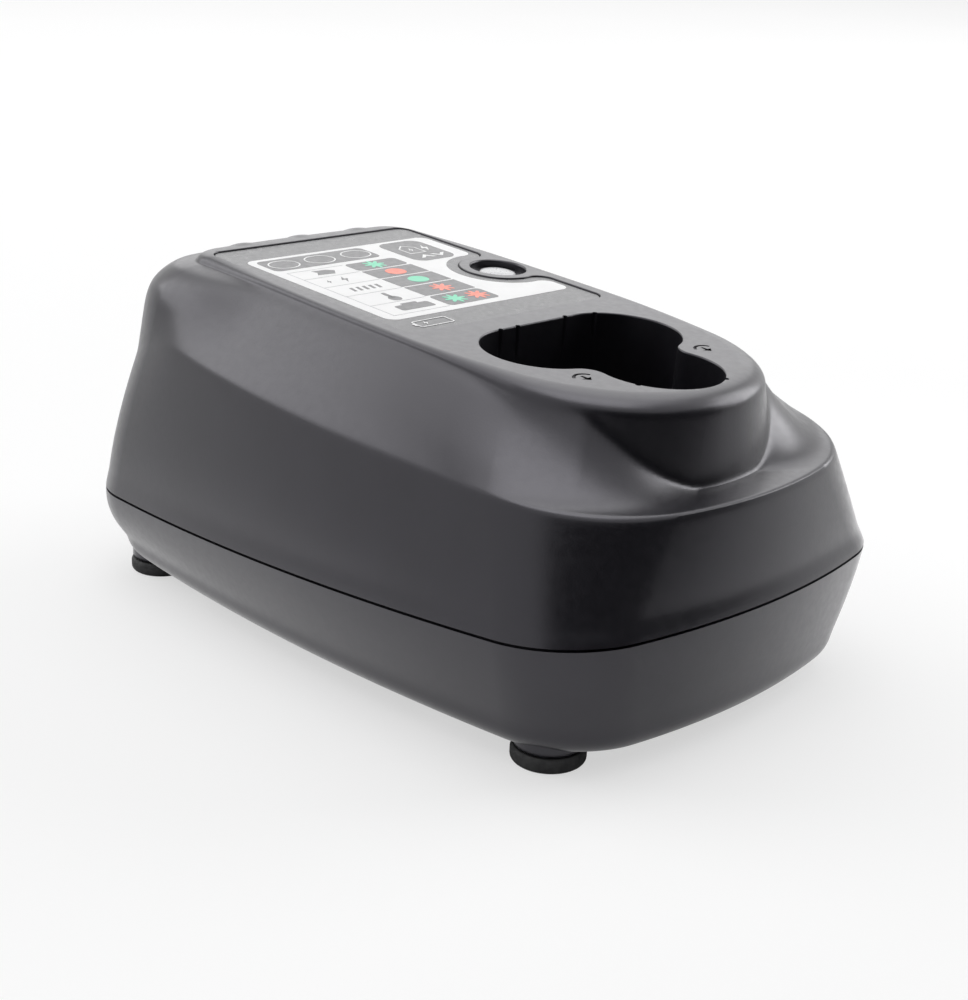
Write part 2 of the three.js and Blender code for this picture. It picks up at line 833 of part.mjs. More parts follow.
// A pan-head screw, driven upwards, with a cross slot in its head
function makeScrew(x, y, low, head, headHeight, shank, length, upward) {
  const flip = upward ? 1 : -1;
  const profile = [
    [0, 0],
    [head * Math.SQRT1_2, 0],
    [head, headHeight / 2],
    [head, headHeight],
    [shank, headHeight],
    [shank, length - shank],
    [shank / 2, length],
    [0, length],
  ];
  const geometry = turned(x, y, low, profile, smallSteps);
  if (!upward) {
    geometry.translate(-x, -y, -low);
    geometry.rotateX(Math.PI);
    geometry.translate(x, y, low);
  }
  const long = head * slotLengthShare;
  const thin = head * slotWidthShare;
  const deep = headHeight / 2;
  const slots = [
    [long, thin],
    [thin, long],
  ].map(([a, b]) => {
    const ends = [low - flip * overrun, low + flip * deep];
    return solid(block([x - a, y - b, Math.min(...ends)], [x + a, y + b, Math.max(...ends)]));
  });
  return geometryOf(cut(solid(geometry), slots));
}

function makeFilm() {
  const bottom = -filmRecess + fit;
  return onTop(prism(filmShape(0), bottom, bottom + filmThickness));
}

function makeLens() {
  const web = -wall - fit;
  const profile = [
    [0, web - lensFlangeThickness],
    [lensFlange, web - lensFlangeThickness],
    [lensFlange, web],
    [lensRadius, web],
    [lensRadius, -lampWellDepth],
  ];
  for (let i = 1; i <= domeSteps; i++) {
    const turn = (i / domeSteps) * (Math.PI / 2);
    const rise = (lampWellDepth - lensDomeDepth) * Math.sin(turn);
    profile.push([lensRadius * Math.cos(turn), -lampWellDepth + rise]);
  }
  profile[profile.length - 1][0] = 0;
  return onTop(turned(lampX, lampY, 0, profile, smallSteps));
}

// The clear rod that carries the lamps' light up from the board to the window
function makeLightGuide() {
  const top = topAt(lampY - lensFlange) - wall - lensFlangeThickness - 3 * fit;
  const low = seat + ledHeight + fit;
  return turned(lampX, lampY, 0, [
    [0, low],
    [guideRadius * Math.SQRT1_2, low],
    [guideRadius, low + guideRadius],
    [guideRadius, top - fit],
    [guideRadius - fit, top],
    [0, top],
  ], smallSteps);
}

function makeLed(side) {
  const x = lampX + side * (ledRadius + fit / 2);
  return turned(x, lampY, seat, [
    [0, 0],
    [ledRadius, 0],
    [ledRadius, ledHeight - ledRadius],
    [ledRadius * Math.SQRT1_2, ledHeight - ledRadius * (1 - Math.SQRT1_2)],
    [0, ledHeight],
  ], smallSteps);
}

function makePlate() {
  const shape = roundedRectangle(
    -plateWidth / 2,
    plateWidth / 2,
    -plateLength / 2,
    plateLength / 2,
    plateCorner,
  );
  const top = underside + plateRecess - fit;
  return prism(shape, top - plateThickness, top);
}

// Inlet body: a block with a flange behind the wall and a figure-eight hollow for the plug
function makeInletBody() {
  const half = inletWidth / 2;
  const high = inletHeight / 2;
  const main = block([-half, inletBack, inletZ - high], [half, inletFace, inletZ + high]);
  const flangeLow = [-half - inletFlange, flangeFace - inletFlangeThickness, inletZ - high - inletFlange];
  const flange = block(flangeLow, [half + inletFlange, flangeFace, inletZ + high + inletFlange]);
  const along = (x, radius, from, to) => {
    const geometry = new THREE.CylinderGeometry(radius, radius, to - from, smallSteps);
    geometry.translate(x, (from + to) / 2, inletZ);
    return solid(geometry);
  };
  const end = inletFace + overrun;
  const start = inletFace - inletHollow;
  const middle = inletLobePitch / 2;
  const web = inletLobe * inletWebShare;
  const hollow = join([
    along(-middle, inletLobe, start, end),
    along(middle, inletLobe, start, end),
    solid(block([-middle, start, inletZ - web], [middle, end, inletZ + web])),
  ]);
  const bores = [-1, 1].map((side) => {
    const x = (side * inletPinPitch) / 2;
    return along(x, inletPinRadius + fit, inletBack - overrun, start + overrun);
  });
  return geometryOf(cut(join([solid(main), solid(flange)]), [hollow, ...bores]));
}

function makeInletPin(side) {
  const from = inletBack - inletPinTail;
  const to = inletFace - inletHollow + inletPinReach;
  const points = [
    [0, from],
    [inletPinRadius, from],
    [inletPinRadius, to - inletPinRadius],
    [inletPinRadius / 2, to],
    [0, to],
  ].map(([radius, height]) => new THREE.Vector2(radius, height));
  const geometry = new THREE.LatheGeometry(points, smallSteps);
  geometry.translate((side * inletPinPitch) / 2, 0, inletZ);
  return geometry;
}

function makeBoard() {
  const body = solid(block([boardLeft, boardFront, boardBottom], [boardRight, boardRear, boardTop]));
  const holes = boardScrewPlaces.map(([x, y]) => {
    const bore = boardScrewRadius + fit;
    return solid(upright(x, y, boardBottom - overrun, boardTop + overrun, bore, bore, smallSteps));
  });
  return geometryOf(cut(body, holes));
}

// Rows across the board, from its front edge to its rear edge
const frontRow = boardFront + partGap + outputRadius;
const coreRow = frontRow + outputRadius + partGap + windingOuter + partGap;
const bridgeRow = coreRow + windingOuter + partGap + bridgeDepth;
const suppressorRow = bridgeRow + bridgeDepth / 2 + partGap + suppressorDepth / 2;
const fuseRow = boardRear - partGap - fuseRadius;
const sinkX = boardLeft + sinkThickness + partGap / 2;
const transistorX = sinkX + sinkThickness / 2 + fit + tabThickness / 2;
const coreX = transistorX + tabThickness / 2 + partGap + coreWidth / 2;
const diodeSinkX = boardRight - sinkThickness - partGap / 2;
const diodeX = diodeSinkX - sinkThickness / 2 - fit - tabThickness / 2;
const diodeY = boardFront + partGap + tabWidth / 2;

function makeCore() {
  const half = coreWidth / 2;
  const depth = coreDepth / 2;
  const window = [coreLeg / 2, half - coreBar];
  const body = solid(
    block([coreX - half, coreRow - depth, seat], [coreX + half, coreRow + depth, seat + coreHeight]),
  );
  const windows = [-1, 1].map((side) => {
    const a = coreX + side * window[0];
    const b = coreX + side * window[1];
    const low = [Math.min(a, b), coreRow - depth - overrun, seat + coreBar];
    return solid(block(low, [Math.max(a, b), coreRow + depth + overrun, seat + coreHeight - coreBar]));
  });
  const slimmer = [-1, 1].map((side) => {
    const a = coreRow + (side * coreLeg) / 2;
    const b = coreRow + side * (depth + overrun);
    const low = [coreX - coreLeg / 2 - fit, Math.min(a, b), seat + coreBar];
    const high = [coreX + coreLeg / 2 + fit, Math.max(a, b), seat + coreHeight - coreBar];
    return solid(block(low, high));
  });
  return geometryOf(cut(body, [...windows, ...slimmer]));
}

function makeWinding() {
  const low = seat + coreBar + fit;
  const high = seat + coreHeight - coreBar - fit;
  const lip = (windingOuter - windingInner) / 5;
  return turned(coreX, coreRow, 0, [
    [windingInner, low],
    [windingOuter, low],
    [windingOuter, low + lip],
    [windingOuter - lip, low + lip],
    [windingOuter - lip, high - lip],
    [windingOuter, high - lip],
    [windingOuter, high],
    [windingInner, high],
    [windingInner, low],
  ]);
}

// A can capacitor with a crimped foot and an eased top
function makeCan(x, y, radius, height) {
  return turned(x, y, seat, [
    [0, 0],
    [radius, 0],
    [radius, height * capCrimpShares[0]],
    [radius - capEdge / 2, height * capCrimpShares[1]],
    [radius, height * capCrimpShares[2]],
    [radius, height - capEdge],
    [radius - capEdge, height],
    [0, height],
  ], smallSteps);
}

// A choke: a wound ring standing flat on the board
function makeChoke() {
  const x = boardLeft + boardScrewInset + boardScrewHead + partGap + chokeRing + chokeTube;
  const y = bridgeRow + chokeTube;
  const profile = [];
  for (let i = 0; i <= chokeSteps; i++) {
    const turn = (i / chokeSteps) * 2 * Math.PI;
    const out = chokeRing + chokeTube * Math.cos(turn);
    profile.push([out, chokeThickness / 2 + (chokeThickness / 2) * Math.sin(turn)]);
  }
  profile[chokeSteps] = [...profile[0]];
  return turned(x, y, seat, profile, smallSteps);
}

function makeFuse() {
  const from = boardLeft + 2 * partGap;
  const z = seat + fuseRadius;
  const lip = fuseRadius / 8;
  const points = [
    [0, 0],
    [fuseRadius, 0],
    [fuseRadius, fuseCapLength],
    [fuseRadius - lip, fuseCapLength],
    [fuseRadius - lip, fuseLength - fuseCapLength],
    [fuseRadius, fuseLength - fuseCapLength],
    [fuseRadius, fuseLength],
    [0, fuseLength],
  ].map(([radius, height]) => new THREE.Vector2(radius, height));
  const geometry = new THREE.LatheGeometry(points, smallSteps);
  geometry.rotateZ(-Math.PI / 2);
  geometry.translate(from, fuseRow, z);
  return geometry;
}

// A block component on the board, standing on its middle
function makeBlock(x, y, width, depth, height) {
  return block([x - width / 2, y - depth / 2, seat], [x + width / 2, y + depth / 2, seat + height]);
}

// A flat heat sink with a foot that stands on the board
function makeSink(x, y, side) {
  const plate = makeBlock(x, y, sinkThickness, sinkLength, sinkHeight);
  const lean = x + (side * sinkThickness) / 2;
  const foot = makeBlock(lean, y, sinkThickness, sinkLength / 2, sinkThickness);
  return geometryOf(join([solid(plate), solid(foot)]));
}

// A round lead along a smooth line
function makeLead(points, radius) {
  const path = new THREE.CatmullRomCurve3(points.map((p) => new THREE.Vector3(...p)));
  const shape = new THREE.Shape();
  shape.absarc(0, 0, radius, 0, 2 * Math.PI);
  return new THREE.ExtrudeGeometry(shape, {
    steps: points.length * 2,
    bevelEnabled: false,
    extrudePath: path,
    curveSegments: leadSteps,
  });
}

// From a pin's tail, over the board's rear edge and down to its pad
function makeMainsLead(side) {
  const x = (side * inletPinPitch) / 2;
  const tail = inletBack - inletPinTail - fit;
  const landing = seat + fit;
  const back = tail - mainsLeadRadius * 4;
  const rise = inletZ - landing;
  return makeLead(
    [
      [x, tail, inletZ],
      [x, tail - mainsLeadRadius, inletZ],
      [x, (tail + back) / 2 - mainsLeadRadius / 2, landing + rise * leadRiseShares[0]],
      [x, back, landing + rise * leadRiseShares[1]],
      [x, back, landing],
    ],
    mainsLeadRadius,
  );
}

// From a blade's tail, under the well, round the board's front edge and down to its pad
function makeOutputLead(n) {
  const x = bladeX(n);
  const startY = contactY + bladeWidth / 2 + fit + outputLeadRadius;
  const low = floorTop + fit + outputLeadRadius;
  const edge = boardFront - leadClear - outputLeadRadius;
  const land = boardFront + partGap + outputLeadRadius;
  const over = seat + leadClear + 2 * outputLeadRadius;
  const padX = x + outputLeadRadius * 6;
  return makeLead(
    [
      [x, startY, low],
      [x, startY + outputLeadRadius * 2, low],
      [(x + padX) / 2, (startY + edge) / 2, low],
      [padX, edge - leadClear * 2, low],
      [padX, edge, low + leadClear],
      [padX, edge, over - leadClear],
      [padX, (edge + land) / 2, over],
      [padX, land, over - leadClear],
      [padX, land, seat + fit],
    ],
    outputLeadRadius,
  );
}

const finishes = {
  case: { color: 0x2b2a2e, roughness: 0.45, metalness: 0 },
  inner: { color: 0x1b1b1d, roughness: 0.6, metalness: 0 },
  rubber: { color: 0x151517, roughness: 0.85, metalness: 0 },
  film: { color: 0x55555a, roughness: 0.35, metalness: 0 },
  clear: { color: 0xe9ecec, roughness: 0.2, metalness: 0 },
  steel: { color: 0xb9bcc0, roughness: 0.35, metalness: 1 },
  brass: { color: 0xc9a86a, roughness: 0.35, metalness: 1 },
  board: { color: 0x1f5c3a, roughness: 0.5, metalness: 0 },
  ferrite: { color: 0x3a3a3c, roughness: 0.7, metalness: 0 },
  copper: { color: 0xb56b3a, roughness: 0.4, metalness: 1 },
  tape: { color: 0xd9b53c, roughness: 0.5, metalness: 0 },
  can: { color: 0x24304a, roughness: 0.4, metalness: 0 },
  chip: { color: 0x202022, roughness: 0.5, metalness: 0 },
  aluminium: { color: 0xb4b7ba, roughness: 0.4, metalness: 1 },
  red: { color: 0xd23a2a, roughness: 0.3, metalness: 0 },
  green: { color: 0x2fae6a, roughness: 0.3, metalness: 0 },
  blue: { color: 0x2c4f8f, roughness: 0.5, metalness: 0 },
  brown: { color: 0x5d3c26, roughness: 0.5, metalness: 0 },
  white: { color: 0xd9d9d6, roughness: 0.5, metalness: 0 },
  black: { color: 0x1b1b1d, roughness: 0.5, metalness: 0 },
};

const charger = new THREE.Group();

function add(name, geometry, finish) {
  const mesh = new THREE.Mesh(geometry, new THREE.MeshStandardMaterial(finishes[finish]));
  mesh.name = name;
  charger.add(mesh);
}

add("base_tub", makeBaseTub(), "case");
add("top_cover", makeTopCover(), "case");
add("socket_well", makeSocketWell(), "inner");
add("label_film", makeFilm(), "film");
add("indicator_lens", makeLens(), "clear");
add("light_guide", makeLightGuide(), "clear");
add("led_red", makeLed(-1), "red");
add("led_green", makeLed(1), "green");
Object.entries(footPlaces).forEach(([place, [x, y]]) => {
  add("foot_" + place, makeFoot(x, y), "rubber");
});
screwPlaces.forEach(([x, y], i) => {
  const low = underside + screwHeadDepth - screwHeadHeight - fit;
  const screw = makeScrew(x, y, low, screwHeadRadius, screwHeadHeight, screwRadius, screwLength, true);
  add("case_screw_" + (i + 1), screw, "steel");
});
add("rating_plate", makePlate(), "film");
add("inlet_body", makeInletBody(), "inner");
add("inlet_pin_left", makeInletPin(-1), "brass");
add("inlet_pin_right", makeInletPin(1), "brass");
add("contact_carrier", makeCarrier(), "inner");
add("contact_plus", makeBlade(-1), "brass");
add("contact_sense", makeBlade(0), "brass");
add("contact_minus", makeBlade(1), "brass");
add("circuit_board", makeBoard(), "board");
boardScrewPlaces.forEach(([x, y], i) => {
  const high = boardTop + fit + boardScrewHeadHeight;
  const size = [boardScrewHead, boardScrewHeadHeight, boardScrewRadius, boardScrewLength];
  add("board_screw_" + (i + 1), makeScrew(x, y, high, ...size, false), "steel");
});
add("transformer_core", makeCore(), "ferrite");
add("transformer_winding", makeWinding(), "tape");
const bulkX = coreX + coreWidth / 2 + partGap + bulkRadius + partGap;
const bulkY = boardRear - boardScrewInset - partGap - bulkRadius;
add("bulk_capacitor", makeCan(bulkX, bulkY, bulkRadius, bulkHeight), "can");
const firstCan = boardLeft + boardScrewInset + boardScrewHead + partGap + outputRadius;
[0, 1].forEach((n) => {
  const x = firstCan + n * (2 * outputRadius + partGap);
  add("output_capacitor_" + (n + 1), makeCan(x, frontRow, outputRadius, outputHeight), "can");
});
add("filter_choke", makeChoke(), "copper");
add("mains_fuse", makeFuse(), "clear");
const suppressorX = inletPinPitch / 2 - suppressorWidth / 2;
const suppressor = [suppressorX, suppressorRow, suppressorWidth, suppressorDepth, suppressorHeight];
add("suppression_capacitor", makeBlock(...suppressor), "tape");
add("bridge_rectifier", makeBlock(suppressorX, bridgeRow, bridgeWidth, bridgeDepth, bridgeHeight), "chip");
add("switching_transistor", makeBlock(transistorX, coreRow, tabThickness, tabWidth, tabHeight), "chip");
add("transistor_heat_sink", makeSink(sinkX, coreRow, -1), "aluminium");
add("output_diode", makeBlock(diodeX, diodeY, tabThickness, tabWidth, tabHeight), "chip");
add("diode_heat_sink", makeSink(diodeSinkX, boardFront + partGap + sinkLength / 2, 1), "aluminium");
const couplerX = firstCan + 3 * outputRadius + partGap + fit + couplerWidth / 2;
const couplerY = boardFront + partGap + chipDepth / 2;
add("optocoupler", makeBlock(couplerX, couplerY, couplerWidth, chipDepth, chipHeight), "chip");
const chipX = coreX + coreWidth / 2 + partGap + chipWidth / 2;
const chipY = lampY - ledRadius - 2 * partGap - chipDepth / 2;
add("control_chip", makeBlock(chipX, chipY, chipWidth, chipDepth, chipHeight), "chip");
add("mains_lead_left", makeMainsLead(-1), "blue");
add("mains_lead_right", makeMainsLead(1), "brown");
add("output_lead_plus", makeOutputLead(-1), "red");
add("output_lead_sense", makeOutputLead(0), "white");
add("output_lead_minus", makeOutputLead(1), "black");

export default charger;
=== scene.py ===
import json
import math

import bpy
import numpy as np
from mathutils import Matrix, Vector


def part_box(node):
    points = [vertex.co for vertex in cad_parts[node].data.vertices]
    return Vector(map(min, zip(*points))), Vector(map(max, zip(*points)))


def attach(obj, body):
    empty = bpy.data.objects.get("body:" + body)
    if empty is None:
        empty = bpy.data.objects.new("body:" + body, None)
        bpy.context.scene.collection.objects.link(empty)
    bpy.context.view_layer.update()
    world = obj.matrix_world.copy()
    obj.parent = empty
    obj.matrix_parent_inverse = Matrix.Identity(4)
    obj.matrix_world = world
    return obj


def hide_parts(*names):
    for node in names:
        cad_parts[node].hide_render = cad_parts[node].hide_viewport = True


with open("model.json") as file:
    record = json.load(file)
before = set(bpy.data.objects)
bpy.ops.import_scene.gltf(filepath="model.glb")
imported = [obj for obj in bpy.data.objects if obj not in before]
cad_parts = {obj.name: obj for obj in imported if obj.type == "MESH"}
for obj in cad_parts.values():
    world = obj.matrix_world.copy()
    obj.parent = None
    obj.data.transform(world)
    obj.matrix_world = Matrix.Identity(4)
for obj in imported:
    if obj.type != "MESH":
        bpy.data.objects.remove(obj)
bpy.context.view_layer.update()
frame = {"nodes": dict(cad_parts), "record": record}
nodes = frame["nodes"]
mm = 0.001
print("frame loaded:", len(nodes), "nodes")

# Camera, at the photograph's viewing angle
cameraPlace = {
    "eye": (-0.21909, -0.21993, 0.13274),
    "right": (0.70955, -0.70364, 0.03792),
    "up": (0.20917, 0.26171, 0.94221),
    "ahead": (0.67290, 0.66061, -0.33287),
    "lens": 60.9,
    "sensor": 36.0,
}


def makeCamera(c):
    data = bpy.data.cameras.new("camera")
    data.lens = c["lens"]
    data.sensor_width = c["sensor"]
    data.clip_start = 0.01
    data.clip_end = 60
    camera = bpy.data.objects.new("camera", data)
    bpy.context.scene.collection.objects.link(camera)
    axes = np.eye(4)
    axes[:3, 0] = c["right"]
    axes[:3, 1] = c["up"]
    axes[:3, 2] = -np.array(c["ahead"])
    axes[:3, 3] = c["eye"]
    camera.matrix_world = Matrix(axes.tolist())
    bpy.context.scene.camera = camera


makeCamera(cameraPlace)
bpy.context.scene.view_settings.view_transform = "Standard"


# Numbers and curves

def smooth(low, high, value):
    # an S-shaped step from 0 to 1 between two values
    share = np.clip((np.asarray(value, float) - low) / (high - low), 0, 1)
    return share * share * (3 - 2 * share)


def between(a, b, share):
    return a + (b - a) * share


def easedTable(values, share):
    # a cubic through evenly spaced values, its slope at each taken from the neighbours
    values = np.asarray(values, float)
    slope = np.gradient(values)
    place = np.clip(share, 0, 1) * (len(values) - 1)
    k = np.minimum(place.astype(int), len(values) - 2)
    f = place - k
    rise = values[k + 1] - values[k]
    bend = slope[k] * f * (1 - f) ** 2 - slope[k + 1] * f ** 2 * (1 - f)
    return values[k] + rise * f * f * (3 - 2 * f) + bend


def arc(centre, radius, start, stop, count):
    # points along a circle from one angle to another, without the last
    turn = np.linspace(start, stop, count, endpoint=False)
    return np.asarray(centre, float) + radius * np.stack([np.cos(turn), np.sin(turn)], 1)


def roundedBox(left, right, front, rear, radius, count=8):
    # a rectangle with round corners, counter-clockwise from the front right corner
    quarter = math.pi / 2
    corners = [
        ((right - radius, front + radius), -quarter),
        ((right - radius, rear - radius), 0),
        ((left + radius, rear - radius), quarter),
        ((left + radius, front + radius), 2 * quarter),
    ]
    turns = [arc(centre, radius, start, start + quarter, count) for centre, start in corners]
    ends = [
        np.asarray(centre) + radius * np.array([[math.cos(start + quarter), math.sin(start + quarter)]])
        for centre, start in corners
    ]
    return np.concatenate([part for pair in zip(turns, ends) for part in pair])


# Shapes are pairs of points in millimetres and faces

def gridFaces(rows, columns, roundRows=False, roundColumns=True):
    # the quads of a grid, which may close on itself either way
    r, c = np.meshgrid(
        np.arange(rows if roundRows else rows - 1),
        np.arange(columns if roundColumns else columns - 1),
        indexing="ij",
    )
    r2 = (r + 1) % rows
    c2 = (c + 1) % columns
    corners = [r * columns + c, r * columns + c2, r2 * columns + c2, r2 * columns + c]
    return np.stack(corners, -1).reshape(-1, 4).tolist()


def loftShape(rings):
    # rings of equal count, one above another, closed by a face at each end
    rows, columns, _ = rings.shape
    first = list(range(columns))[::-1]
    last = list(range((rows - 1) * columns, rows * columns))
    return rings.reshape(-1, 3), gridFaces(rows, columns) + [first, last]


def hoopShape(rings):
    # rings of equal count that close on themselves both ways
    rows, columns, _ = rings.shape
    return rings.reshape(-1, 3), gridFaces(rows, columns, roundRows=True)


def raised(outline, heights):
    # an outline, or one outline for each height, stood up into rings
    outline = np.asarray(outline, float)
    heights = np.asarray(heights, float)
    if outline.ndim == 2:
        outline = np.repeat(outline[None], len(heights), 0)
    tall = np.broadcast_to(heights[:, None, None], outline.shape[:2] + (1,))
    return np.concatenate([outline, tall], -1)


def prismShape(outline, low, high):
    return loftShape(raised(outline, [low, high]))


def turnedRings(x, y, profile, steps=48):
    # a profile of radius and height carried round an upright axis
    profile = np.asarray(profile, float)
    turn = np.arange(steps) * 2 * math.pi / steps
    radius = profile[:, 0, None]
    height = np.repeat(profile[:, 1, None], steps, 1)
    return np.stack([x + radius * np.cos(turn), y + radius * np.sin(turn), height], -1)


def turnedShape(x, y, profile, steps=48):
    return loftShape(turnedRings(x, y, profile, steps))


def boxShape(low, high):
    outline = [[low[0], low[1]], [high[0], low[1]], [high[0], high[1]], [low[0], high[1]]]
    return prismShape(outline, low[2], high[2])


def merged(*shapes):
    points = []
    faces = []
    start = 0
    for part, partFaces in shapes:
        points.append(part)
        faces += [[k + start for k in face] for face in partFaces]
        start += len(part)
    return np.concatenate(points), faces


def moved(shape, change):
    return change(shape[0]), shape[1]


def newPiece(name, shape, finish=None, sharpAngle=32):
    mesh = bpy.data.meshes.new(name)
    mesh.from_pydata((np.asarray(shape[0]) * mm).tolist(), [], shape[1])
    mesh.validate()
    piece = bpy.data.objects.new(name, mesh)
    bpy.context.scene.collection.objects.link(piece)
    shade(piece, sharpAngle)
    if finish:
        mesh.materials.append(finish)
    return piece


def shade(piece, sharpAngle=32):
    piece.data.shade_smooth()
    piece.data.set_sharp_from_angle(angle=math.radians(sharpAngle))


def applied(piece):
    # the piece with its modifiers worked into its mesh
    graph = bpy.context.evaluated_depsgraph_get()
    fresh = bpy.data.meshes.new_from_object(piece.evaluated_get(graph))
    piece.modifiers.clear()
    old = piece.data
    piece.data = fresh
    fresh.name = piece.name
    bpy.data.meshes.remove(old)


def combine(piece, shape, operation="DIFFERENCE"):
    # exact solid arithmetic with another shape, worked in at once
    other = newPiece("tool", shape)
    modifier = piece.modifiers.new("solid", "BOOLEAN")
    modifier.operation = operation
    modifier.solver = "EXACT"
    modifier.object = other
    applied(piece)
    mesh = other.data
    bpy.data.objects.remove(other)
    bpy.data.meshes.remove(mesh)


def evenNormals(piece, sharpAngle=32):
    # big flat faces set the shading at their edges
    shade(piece, sharpAngle)
    modifier = piece.modifiers.new("even", "WEIGHTED_NORMAL")
    modifier.mode = "FACE_AREA"
    modifier.keep_sharp = True
    applied(piece)


def span(node):
    low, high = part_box(node)
    return np.array(low) / mm, np.array(high) / mm


def settle(piece, slot, *replaced):
    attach(piece, "root")
    if replaced:
        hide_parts(*replaced)
    return piece


# Materials

def newFinish(name, colour, roughness, metallic=0.0, sockets=None):
    finish = bpy.data.materials.new(name)
    finish.use_nodes = True
    shader = finish.node_tree.nodes["Principled BSDF"]
    shader.inputs["Base Color"].default_value = (*colour, 1)
    shader.inputs["Roughness"].default_value = roughness
    shader.inputs["Metallic"].default_value = metallic
    for socket, value in (sockets or {}).items():
        shader.inputs[socket].default_value = value
    return finish


def noiseNode(tree, scale, detail, stretch=(1, 1, 1)):
    place = tree.nodes.new("ShaderNodeTexCoord")
    turn = tree.nodes.new("ShaderNodeMapping")
    turn.inputs["Scale"].default_value = stretch
    noise = tree.nodes.new("ShaderNodeTexNoise")
    noise.inputs["Scale"].default_value = scale
    noise.inputs["Detail"].default_value = detail
    tree.links.new(place.outputs["Object"], turn.inputs["Vector"])
    tree.links.new(turn.outputs["Vector"], noise.inputs["Vector"])
    return noise


def addMottle(finish, colour, scale, detail=3.0, stretch=(1, 1, 1)):
    # the base colour wanders between the shader's own and another one
    tree = finish.node_tree
    shader = tree.nodes["Principled BSDF"]
    noise = noiseNode(tree, scale, detail, stretch)
    ramp = tree.nodes.new("ShaderNodeValToRGB")
    ramp.color_ramp.elements[0].position = 0.35
    ramp.color_ramp.elements[1].position = 0.65
    ramp.color_ramp.elements[0].color = shader.inputs["Base Color"].default_value[:]
    ramp.color_ramp.elements[1].color = (*colour, 1)
    tree.links.new(noise.outputs["Fac"], ramp.inputs["Fac"])
    tree.links.new(ramp.outputs["Color"], shader.inputs["Base Color"])


def addSheen(finish, low, high, scale, detail=4.0, stretch=(1, 1, 1)):
    # the roughness wanders between two values
    tree = finish.node_tree
    shader = tree.nodes["Principled BSDF"]
    noise = noiseNode(tree, scale, detail, stretch)
    span = tree.nodes.new("ShaderNodeMapRange")
    span.inputs["From Min"].default_value = 0.3
    span.inputs["From Max"].default_value = 0.7
    span.inputs["To Min"].default_value = low
    span.inputs["To Max"].default_value = high
    tree.links.new(noise.outputs["Fac"], span.inputs["Value"])
    tree.links.new(span.outputs["Result"], shader.inputs["Roughness"])


def addGrain(finish, scale, height, detail=2.0, stretch=(1, 1, 1), strength=1.0):
    # a fine relief, its height in metres
    tree = finish.node_tree
    shader = tree.nodes["Principled BSDF"]
    noise = noiseNode(tree, scale, detail, stretch)
    bump = tree.nodes.new("ShaderNodeBump")
    bump.inputs["Strength"].default_value = strength
    bump.inputs["Distance"].default_value = height
    tree.links.new(noise.outputs["Fac"], bump.inputs["Height"])
    tree.links.new(bump.outputs["Normal"], shader.inputs["Normal"])


casePlastic = newFinish(
    "case_plastic", (0.0085, 0.0081, 0.0105), 0.31,
    sockets={"Specular IOR Level": 0.57, "Specular Tint": (0.94, 0.92, 1.0, 1.0)},
)
addMottle(casePlastic, (0.0107, 0.0102, 0.0132), 90)
addSheen(casePlastic, 0.28, 0.34, 700)
addGrain(casePlastic, 2600, 0.000008)

innerPlastic = newFinish("inner_plastic", (0.012, 0.012, 0.0135), 0.5)
addMottle(innerPlastic, (0.017, 0.017, 0.019), 120)
addSheen(innerPlastic, 0.42, 0.6, 500)
addGrain(innerPlastic, 1800, 0.000015)

footRubber = newFinish("foot_rubber", (0.011, 0.011, 0.012), 0.75)
addMottle(footRubber, (0.02, 0.02, 0.021), 400)
addSheen(footRubber, 0.6, 0.85, 900)
addGrain(footRubber, 2200, 0.00006)

filmBase = newFinish("film_base", (0.035, 0.035, 0.04), 0.3)
addMottle(filmBase, (0.045, 0.045, 0.05), 160)
addSheen(filmBase, 0.26, 0.36, 900)
addGrain(filmBase, 3500, 0.000005)


# Outlines of the case, which the two halves share

caseShape = {
    "halfWidth": 48.8, "halfLength": 72.6, "sideRadius": 420, "endRadius": 138, "corner": 20,
    "seamHeight": 21.8, "seamSlope": -0.0486, "seamGap": 0.5, "wall": 2.4,
    "sideSteps": 20, "cornerSteps": 34, "endSteps": 26,
}
shoulderShape = {
    "height": 48.6, "sideInset": 5.1, "endInset": 3.1, "sideRadius": 300, "endRadius": 91,
    "frontCorner": 28, "rearCorner": 24.5, "rearDrop": 9, "dropLength": 33,
}
topShape = {
    "height": 62.87, "slope": 0.0735, "halfWidth": 28.9, "frontReach": 60.9, "rearReach": 53.9,
    "sideRadius": 900, "frontSideRadius": 500, "frontRadius": 60, "frontCorner": 27, "rearRadius": 260,
    "rearCorner": 6, "collarY": -33, "evenSteps": 0.3,
}
topAngle = math.atan(topShape["slope"])


def seamAt(y):
    return caseShape["seamHeight"] + caseShape["seamSlope"] * np.asarray(y)


def topAt(y):
    return topShape["height"] + topShape["slope"] * np.asarray(y)


def shoulderAt(y):
    s = shoulderShape
    start = caseShape["halfLength"] - s["endInset"] - s["dropLength"]
    drop = s["rearDrop"] * smooth(start, start + s["dropLength"], y)
    return s["height"] + topShape["slope"] * np.asarray(y) - drop


def onTop(points):
    # points drawn flat at zero height, laid into the inclined top face
    x, y, z = np.moveaxis(np.asarray(points, float), -1, 0)
    c = math.cos(topAngle)
    s = math.sin(topAngle)
    return np.stack([x, y * c - z * s, topShape["height"] + y * s + z * c], -1)


